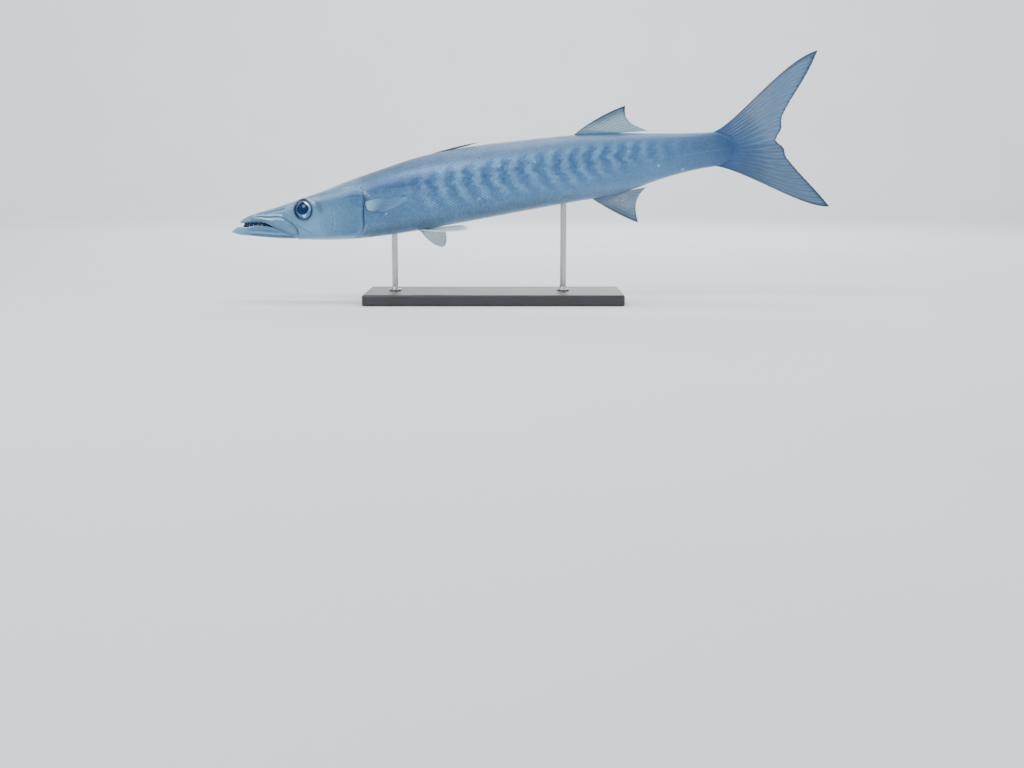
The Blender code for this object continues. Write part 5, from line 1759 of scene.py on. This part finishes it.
@dataclass
class FinCloth:
    """How a fin's skin is finished: its rays, its thickness and its tint."""

    rays: int
    root: float = 0.0024
    tip: float = 0.0005
    ridge: float = 0.0005
    split_at: float = 0.42
    veil: float = 0.50
    scallop: float = 0.0010
    tint: Triple = (128, 152, 158)
    ray_tint: Triple = (160, 178, 178)
    edge_tint: Triple = (60, 78, 96)
    edge_strength: float = 0.8
    edge_width: float = 0.06
    base_tint: Triple = (92, 122, 152)
    base_reach: float = 0.24
    base_middle: float = 0.0

    def ray_share(self, u: Array, v: Array) -> Array:
        """1 on a ray and 0 between: bells across v, each ray split in two beyond split_at and near 0.8."""
        phase = v * (self.rays - 1)
        off = np.abs(phase - np.round(phase))
        spread = 0.21 * step(self.split_at, self.split_at + 0.38, u)
        second = 0.075 * step(0.72, 0.98, u)
        gap = np.abs(np.abs(off - spread) - second)
        return np.exp(-((gap / 0.085) ** 2))

    def half_thickness(self, u: Array, ray: Array, v: Array) -> Array:
        """Half the fin's thickness: a membrane thin at the tip, a ridge on each ray, a stout first ray."""
        membrane = 0.5 * (self.root + (self.tip - self.root) * u)
        lead = step(0.035, 0.0, v) * self.ridge * 0.9
        jointed = 1 + 0.12 * np.sin(u * 240.0) * step(0.15, 0.3, u)
        return membrane * 0.8 + (self.ridge * ray * jointed + lead) * (1 - 0.75 * u) + 0.00008

    def sheet(
        self, kit: Kit, name: str, grid: Array, across: Array, v: Array, stands_for: Sequence[str],
        sides: tuple[Array, Array] | None = None, dark: Array | float = 0.0,
    ) -> None:
        """Builds a fin from its middle grid.

        Args:
            kit: The shared form and materials.
            name: The piece's name.
            grid: The fin's middle surface, shaped (rows, columns, 3), rows along the rays.
            across: The direction of its thickness, for each point or for all.
            v: The share across of each column, counted from a leading edge.
            stands_for: The CAD nodes that it replaces.
            sides: Its two skins where they aren't the middle grid thickened.
            dark: How dark each point is beyond the margins.
        """
        rows = grid.shape[0]
        u = np.linspace(0, 1, rows)[:, None] * np.ones((1, grid.shape[1]))
        v = np.broadcast_to(v, u.shape)
        ray = self.ray_share(u, v)
        if sides is None:
            half = self.half_thickness(u, ray, v)[..., None]
            sides = (grid + across * half, grid - across * half)
        points, faces = closed_sheet(*sides)
        lead = step(self.edge_width, 0.0, v) * step(0.0, 0.15, u)
        trail = step(1.0 - self.edge_width, 0.995, u)
        shade = np.clip(np.maximum(lead, trail) * self.edge_strength + dark, 0, 1)
        tint = blend(paint(*self.tint) + np.zeros((*u.shape, 3)), paint(*self.ray_tint), ray * 0.7)
        tint = blend(tint, paint(*self.edge_tint), shade)
        base = step(self.base_reach + self.base_middle * v**2, 0.0, u)
        tint = blend(tint, paint(*self.base_tint), base * 0.95)
        tint = np.concatenate([tint, np.ones((*u.shape, 1))], -1)
        veil = np.clip(self.veil + 0.6 * base + 0.35 * shade, 0, 1)
        attributes = {"tint": tint.reshape(-1, 4), "ray": ray.ravel(), "veil": veil.ravel()}
        attributes = {key: np.concatenate([values, values]) for key, values in attributes.items()}
        mesh_piece(name, kit.form.place(points), faces, kit.fin, attributes, stands_for)

    def finished(self, grid: Array, v: Array, sink: float) -> Array:
        """Scallops the outer edge between the rays and sinks the root row into the body.

        Args:
            grid: The fin's middle surface.
            v: The share across of each column.
            sink: How far the root row moves against the rays.

        Returns:
            The finished grid.
        """
        u = np.linspace(0, 1, grid.shape[0])[:, None]
        way = unit(np.gradient(grid, axis=0))
        notch = self.scallop * (1 - self.ray_share(np.ones_like(v), v)) * u**7
        grid = grid - way * notch[..., None]
        grid[0] -= way[0] * sink
        return grid


SIDEWAYS = np.array([0.0, 1.0, 0.0])


@dataclass
class CaudalFin:
    """The forked tail fin: both lobes as one sheet, whose rays fan from the base of the tail."""

    kit: Kit
    fork: Triple = (0.8975, 0.0, 0.0055)
    bulge: float = 0.0058
    upper: tuple = (
        ((0.840, 0, 0.0400), (0.920, 0, 0.1310), (0.9740, 0, 0.1405)),
        ((0.945, 0, 0.0780), (0.912, 0, 0.0640)),
    )
    lower: tuple = (
        ((0.850, 0, -0.0400), (0.935, 0, -0.1090), (0.9770, 0, -0.1090)),
        ((0.955, 0, -0.0750), (0.915, 0, -0.0350)),
    )
    rows: int = 96
    columns: int = 150
    cloth: FinCloth = field(
        default_factory=lambda: FinCloth(
            rays=11, root=0.0030, ridge=0.0006, veil=0.66, tint=(78, 118, 156), ray_tint=(108, 146, 178),
            edge_tint=(26, 46, 80), scallop=0.0007, base_tint=(50, 86, 134), base_reach=0.42, base_middle=0.5,
        )
    )

    def lobe(self, lead: tuple, tips: tuple, sign: int) -> Array:
        """One lobe's middle grid, from its leading edge to the middle of the fin."""
        form = self.kit.form
        inner = np.array([form.stalk_end_at, 0.0, form.widest(form.stalk_end_at)])

        def root(v: Array) -> Array:
            angles = sign * 90 * (1 - np.asarray(v, float))
            line = form.section(form.stalk_end(angles), angles)
            line[:, 1] = 0.0
            line[-1] = inner
            return line

        start = root(np.array([0.0, 1.0]))[0]
        edge = [start, *lead]
        outer = [edge[-1], *tips, np.array(self.fork)]
        return coons(edge, straight(inner, self.fork), root, outer, self.rows, self.columns)

    def build(self) -> None:
        """Joins the lobes along the middle and builds the fin."""
        v = np.linspace(0, 1, self.columns)
        top = self.cloth.finished(self.lobe(*self.upper, 1), v, 0.004)
        low = self.cloth.finished(self.lobe(*self.lower, -1), v, 0.004)
        top[:, -1] = low[:, -1] = (top[:, -1] + low[:, -1]) / 2
        grid = np.concatenate([top, low[:, -2::-1]], 1)
        share = np.concatenate([v, v[-2::-1]])
        u = np.linspace(0, 1, self.rows)[:, None]
        grid[..., 0] += self.bulge * hump(share, 0.89, 0.075) * u**3
        lower = np.arange(grid.shape[1]) >= self.columns
        base = 0.30 * step(0.62, 0.1, u) * np.ones_like(share) + 0.12 + 0.26 * lower
        self.cloth.sheet(
            self.kit, "tail_fin", grid, SIDEWAYS, share, ("fin_caudal_upper", "fin_caudal_lower"), dark=base
        )


@dataclass
class MedianFins:
    """The folded first dorsal fin, the second dorsal fin and the anal fin."""

    kit: Kit

    def root_line(self, start: float, end: float, line: Line) -> Line:
        """A function from shares across to the points where the fin meets the back or the belly."""

        def root(v: Array) -> Array:
            s = start + (end - start) * np.asarray(v, float)
            return np.stack([s, np.zeros_like(s), line(s)], -1)

        return root

    def fin(
        self, name: str, node: str, root: Line, lead: list, tips: list, last: tuple, cloth: FinCloth, rows: int,
        columns: int, dark: float = 0.0,
    ) -> None:
        """Builds one fin between its leading edge, its outer edge and its last ray."""
        start, end = root(np.array([0.0, 1.0]))
        v = np.linspace(0, 1, columns)
        grid = coons([start, *lead], straight(end, last), root, [lead[-1], *tips, last], rows, columns)
        grid = cloth.finished(grid, v, 0.0022)
        u = np.linspace(0, 1, rows)[:, None]
        front = dark * step(0.40, 0.0, v)[None] * step(0.05, 0.5, u)
        cloth.sheet(self.kit, name, grid, SIDEWAYS, v, (node,), dark=front)

    def build(self) -> None:
        """Builds the three fins."""
        form = self.kit.form
        back = form.back
        self.fin(
            "dorsal_fold", "fin_dorsal_first", self.root_line(0.347, 0.384, back),
            [(s, 0, back(s) + up) for s, up in ((0.367, 0.0022), (0.396, 0.0044), (0.424, 0.0048))],
            [(0.418, 0, back(0.418) + 0.0036), (0.411, 0, back(0.411) + 0.0024)],
            (0.404, 0, back(0.404) + 0.0016),
            FinCloth(5, root=0.0022, tip=0.0008, ridge=0.0005, split_at=2.0, veil=0.85, scallop=0.0004,
                     tint=(60, 88, 120), ray_tint=(38, 60, 90)), 44, 90,
        )
        self.fin(
            "dorsal_rear_fin", "fin_dorsal_second", self.root_line(0.577, 0.650, back),
            [(0.602, 0, 0.0705), (0.640, 0, 0.0850), (0.6655, 0, 0.0895)],
            [(0.660, 0, 0.0700), (0.665, 0, 0.0600)], (0.697, 0, 0.0447),
            FinCloth(11, veil=0.60, tint=(112, 156, 186), ray_tint=(146, 182, 182), edge_tint=(30, 52, 84)),
            64, 170, 0.75,
        )
        self.fin(
            "anal_fin", "fin_anal", self.root_line(0.593, 0.656, form.belly),
            [(0.612, 0, -0.0680), (0.643, 0, -0.0905), (0.6635, 0, -0.1005)],
            [(0.660, 0, -0.0780), (0.660, 0, -0.0600)], (0.684, 0, -0.0447),
            FinCloth(11, veil=0.64, tint=(78, 114, 148), ray_tint=(116, 146, 162), edge_tint=(28, 50, 82)),
            64, 170, 0.55,
        )


@dataclass
class PairedFins:
    """The breast fins, folded back along the flanks, and the belly fins, spread as in the pose."""

    kit: Kit
    clear: float = 0.0003

    def pectoral(self, side: Side) -> None:
        """A breast fin: its rows lean off the flank by a power of the share along them."""
        form = self.kit.form
        rows, columns = 64, 150
        lead = [(0.2295, 0, 0.0040), (0.252, 0, 0.0070), (0.280, 0, 0.0050), (0.302, 0, -0.0020)]
        last = [(0.2320, 0, -0.0100), (0.240, 0, -0.0125), (0.249, 0, -0.0142), (0.257, 0, -0.0138)]
        tips = [lead[3], (0.298, 0, -0.0060), (0.280, 0, -0.0125), last[3]]
        root = [lead[0], (0.2276, 0, 0.0006), (0.2285, 0, -0.0072), last[0]]
        grid = coons(lead, last, lambda v: bezier(root, v), tips, rows, columns)
        cloth = FinCloth(
            12, root=0.0022, ridge=0.0003, veil=0.42, split_at=0.35, scallop=0.0006, tint=(78, 124, 170),
            ray_tint=(104, 150, 190), edge_tint=(70, 116, 162), edge_strength=0.30, base_tint=(142, 188, 218),
            base_reach=0.60,
        )
        v = np.linspace(0, 1, columns)
        grid = cloth.finished(grid, v, 0.0)
        u = np.linspace(0, 1, rows)[:, None] * np.ones((1, columns))
        half = cloth.half_thickness(u, cloth.ray_share(u, v[None]), v[None])
        lean = 2 * self.clear + 0.0004 + 0.0100 * step(0.10, 1.0, u) ** 1.3 - 0.0016 * step(0.06, 0.0, u)
        skins = [form.side_point(grid[..., 0], grid[..., 2], lean + up * half) * side.turn for up in (2.0, 0.0)]
        name = f"breast_fin_{side.label}"
        cloth.sheet(self.kit, name, grid, SIDEWAYS, v, (f"fin_pectoral_{side.label}",), sides=tuple(skins))

    def pelvic(self, side: Side, lead: list, tips: list) -> None:
        """A belly fin from the last corner points of its spine edge and of its outer edge."""
        form = self.kit.form
        rows, columns = 64, 110

        def root(v: Array) -> Array:
            v = np.asarray(v, float)
            return form.section(0.303 + 0.017 * v, -74.0 - 10.0 * v) * side.turn

        start, end = root(np.array([0.0, 1.0]))
        cloth = FinCloth(
            7, root=0.0020, ridge=0.0003, veil=0.52, split_at=0.30, scallop=0.0006, tint=(172, 202, 222),
            ray_tint=(214, 232, 240), edge_tint=(244, 252, 254), edge_strength=1.0, edge_width=0.13,
            base_tint=(120, 156, 190), base_reach=0.16,
        )
        v = np.linspace(0, 1, columns)
        grid = coons([start, *lead], straight(end, tips[-1]), root, [lead[-1], *tips], rows, columns)
        grid = cloth.finished(grid, v, 0.0)
        normal = unit(np.cross(np.gradient(grid, axis=0), np.gradient(grid, axis=1)))
        normal *= -np.sign(normal[..., 2].mean())
        u = np.linspace(0, 1, rows)[:, None] * np.ones((1, columns))
        half = cloth.half_thickness(u, cloth.ray_share(u, v[None]), v[None])
        thickness = 2 * half * np.abs(normal[..., 2])
        skins = []
        for skin, gap in ((grid + normal * half[..., None], thickness), (grid - normal * half[..., None], 0.0)):
            limit = form.underside(skin[..., 0], skin[..., 1]) - gap + 0.0004
            skin[..., 2] = np.minimum(skin[..., 2], limit)
            skin[0, :, 2] = limit[0] + 0.0009
            skins.append(skin)
        name = f"belly_fin_{side.label}"
        cloth.sheet(self.kit, name, grid, SIDEWAYS, v, (f"fin_pelvic_{side.label}",), sides=tuple(skins))

    def build(self) -> None:
        """Builds all four."""
        for side in Side:
            self.pectoral(side)
        self.pelvic(
            Side.LEFT,
            [(0.328, -0.018, -0.0640), (0.358, -0.027, -0.0680), (0.382, -0.032, -0.0685)],
            [(0.386, -0.028, -0.0660), (0.382, -0.020, -0.0610), (0.368, -0.013, -0.0600)],
        )
        self.pelvic(
            Side.RIGHT,
            [(0.310, 0.025, -0.0740), (0.318, 0.044, -0.0860), (0.331, 0.058, -0.0935)],
            [(0.341, 0.057, -0.0945), (0.344, 0.044, -0.0830), (0.345, 0.024, -0.0690)],
        )


@dataclass
class DisplayStand:
    """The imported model's base and two rods, finished, with a turned collar at each rod's foot."""

    kit: Kit
    base_top: float = 0.018
    rod_radius: float = 0.005
    rod_places: tuple[float, float] = (0.262, 0.545)
    lacquer: LacquerFinish = field(default_factory=LacquerFinish)
    steel: SteelFinish = field(default_factory=SteelFinish)

    def build(self, nodes: dict[str, bpy.types.Object]) -> None:
        """Dresses the stand's nodes and adds the collars.

        Args:
            nodes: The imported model's objects by name.
        """
        steel = self.steel.material()
        for name, finish in (
            ("stand_base", self.lacquer.material()),
            ("stand_rod_front", steel),
            ("stand_rod_rear", steel),
        ):
            for slot in nodes[name].material_slots:
                slot.material = finish
        form = self.kit.form
        profile = np.array(
            [(1.02, 0.0005), (2.0, 0.0005), (2.06, 0.0009), (2.06, 0.0026), (1.98, 0.0033), (1.5, 0.0036),
             (1.36, 0.0044), (1.34, 0.0066), (1.28, 0.0072), (1.02, 0.0072)]
        )
        turn = np.linspace(0, 2 * np.pi, 64, endpoint=False)[:, None]
        for name, s in zip(("front", "rear"), self.rod_places):
            foot = form.place(np.array([s, 0.0, float(form.belly(s))]))
            radius = profile[None, :, 0] * self.rod_radius
            points = np.stack(
                [foot[0] + np.cos(turn) * radius, foot[1] + np.sin(turn) * radius,
                 self.base_top + profile[None, :, 1] + 0 * turn], -1
            )
            rows, around = points.shape[:2]
            closed = np.concatenate([points, points[:1]])
            faces = grid_faces(rows + 1, around, True) % (rows * around)
            mesh_piece(f"stand_collar_{name}", closed[:-1], faces, steel)


@dataclass
class Studio:
    """The pale bowl of floor and wall, the soft lights and the camera."""

    floor_radius: float = 4.0
    wall_bend: float = 1.6
    wall_top: float = 4.6
    camera_place: Triple = (0.0298, -2.3455, 0.22)
    camera_fall: float = math.radians(8.68)
    lens: float = 50.0
    sensor: float = 36.0

    def floor(self) -> None:
        """A bowl: a flat disc that bends up by a quarter circle into a round wall."""
        bend = np.linspace(0, np.pi / 2, 24)
        radius = np.concatenate(
            [np.linspace(0.01, self.floor_radius, 24), self.floor_radius + self.wall_bend * np.sin(bend)[1:]]
        )
        height = np.concatenate([np.zeros(24), self.wall_bend * (1 - np.cos(bend))[1:]])
        radius, height = np.append(radius, radius[-1]), np.append(height, self.wall_top)
        turn = np.linspace(0, 2 * np.pi, 128, endpoint=False)[None]
        points = np.stack(
            [radius[:, None] * np.cos(turn), radius[:, None] * np.sin(turn), height[:, None] + 0 * turn], -1
        )
        mesh = bpy.data.meshes.new("studio_floor")
        faces = grid_faces(len(radius), 128, True)[:, ::-1]
        hub = np.array([[k + 1, k, 0] for k in range(1, 127)])[:, ::-1]
        mesh.from_pydata(points.reshape(-1, 3).tolist(), [], np.concatenate([faces, hub]).tolist())
        mesh.shade_smooth()
        nodes = Nodes("studio_paper")
        paper = nodes.mix(nodes.noise(3.0, 2.0), paint(222, 225, 228), paint(228, 231, 233))
        mesh.materials.append(nodes.dress({"Base Color": paper, "Roughness": 0.85}))
        piece = bpy.data.objects.new("studio_floor", mesh)
        bpy.context.scene.collection.objects.link(piece)

    def light(self, name: str, place: Sequence[float], aim: Sequence[float], size: float, power: float) -> None:
        """A round area light at a place, turned to an aim."""
        lamp = bpy.data.lights.new(name, "AREA")
        lamp.shape = "DISK"
        lamp.size = size
        lamp.energy = power
        piece = bpy.data.objects.new(name, lamp)
        piece.location = place
        way = np.array(aim, float) - np.array(place, float)
        piece.rotation_euler = (
            math.acos(-way[2] / np.linalg.norm(way)), 0.0, math.atan2(way[1], way[0]) - math.pi / 2
        )
        bpy.context.scene.collection.objects.link(piece)

    def build(self) -> None:
        """Sets the stage, the lights, the world and the camera."""
        self.floor()
        middle = (0.0, 0.0, 0.20)
        self.light("key", (-1.3, -2.0, 2.6), middle, 1.5, 74.0)
        self.light("overhead", (0.2, 0.3, 2.7), middle, 2.0, 70.0)
        self.light("fill", (2.4, -1.9, 1.1), middle, 1.8, 14.0)
        self.light("behind", (0.6, 2.6, 1.9), middle, 1.8, 30.0)
        self.light("backdrop", (0.0, 2.4, 3.6), (0.0, 5.6, 1.6), 3.0, 190.0)
        world = bpy.data.worlds.new("studio_air")
        bpy.context.scene.world = world
        world.use_nodes = True
        world.node_tree.nodes["Background"].inputs["Color"].default_value = (0.86, 0.90, 0.95, 1.0)
        world.node_tree.nodes["Background"].inputs["Strength"].default_value = 0.50
        lens = bpy.data.cameras.new("camera")
        lens.lens, lens.sensor_width = self.lens, self.sensor
        camera = bpy.data.objects.new("camera", lens)
        camera.location = self.camera_place
        camera.rotation_euler = (math.pi / 2 - self.camera_fall, 0.0, 0.0)
        bpy.context.scene.collection.objects.link(camera)
        bpy.context.scene.camera = camera


def corners(box: Sequence[Sequence[float]]) -> list[list[float]]:
    """A box's lowest and highest corners as plain lists."""
    return [[float(value) for value in corner] for corner in box]


def main() -> None:
    """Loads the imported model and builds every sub-assembly."""
    logging.basicConfig(level=logging.INFO, format="%(name)s: %(message)s")
    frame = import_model()
    Studio().build()
    form = FishForm()
    finishes = SkinFinish(), ScaleFinish(), FinFinish(), ToothFinish(), FleshFinish(), EyeFinish()
    kit = Kit(form, Markings(form), *(finish.material() for finish in finishes))
    BodySkin(kit).build()
    LowerJaw(kit).build()
    for side in Side:
        Maxilla(kit).build(side)
        Eye(kit).build(side)
    Nostrils(kit).build()
    for row in (
        ("teeth_upper", form.upper_lip, (0.027, 0.066, 12, 0.0027), (0.0232, 0.0040), 0.0026, -1, 5),
        ("teeth_lower", form.lower_lip, (0.0160, 0.064, 14, 0.0029), (0.0095, 0.0038), 0.0024, 1, 6),
    ):
        ToothRow(kit, *row).build()
    trunk = ScaleCoat(kit, 64, 0.55, 0.183, 0.852, 1.65, 0.60, -0.00066, -0.00006, 0.00010, 11)
    trunk.build(
        {
            "scales_right_front": lambda s, sign: (sign > 0) & (s < COAT_SPLIT),
            "scales_right_rear": lambda s, sign: (sign > 0) & (s >= COAT_SPLIT),
            "scales_left_front": lambda s, sign: (sign < 0) & (s < COAT_SPLIT),
            "scales_left_rear": lambda s, sign: (sign < 0) & (s >= COAT_SPLIT),
        }
    )
    face = FaceScales(kit, 128, 0.60, 0.134, 0.234, 1.55, 0.58, -0.00032, 0.00004, 0.00006, 12, 1.14)
    face.build({"scales_face_right": lambda s, sign: sign > 0, "scales_face_left": lambda s, sign: sign < 0})
    CaudalFin(kit).build()
    MedianFins(kit).build()
    PairedFins(kit).build()
    DisplayStand(kit).build(frame["nodes"])


if __name__ == "__main__":
    main()
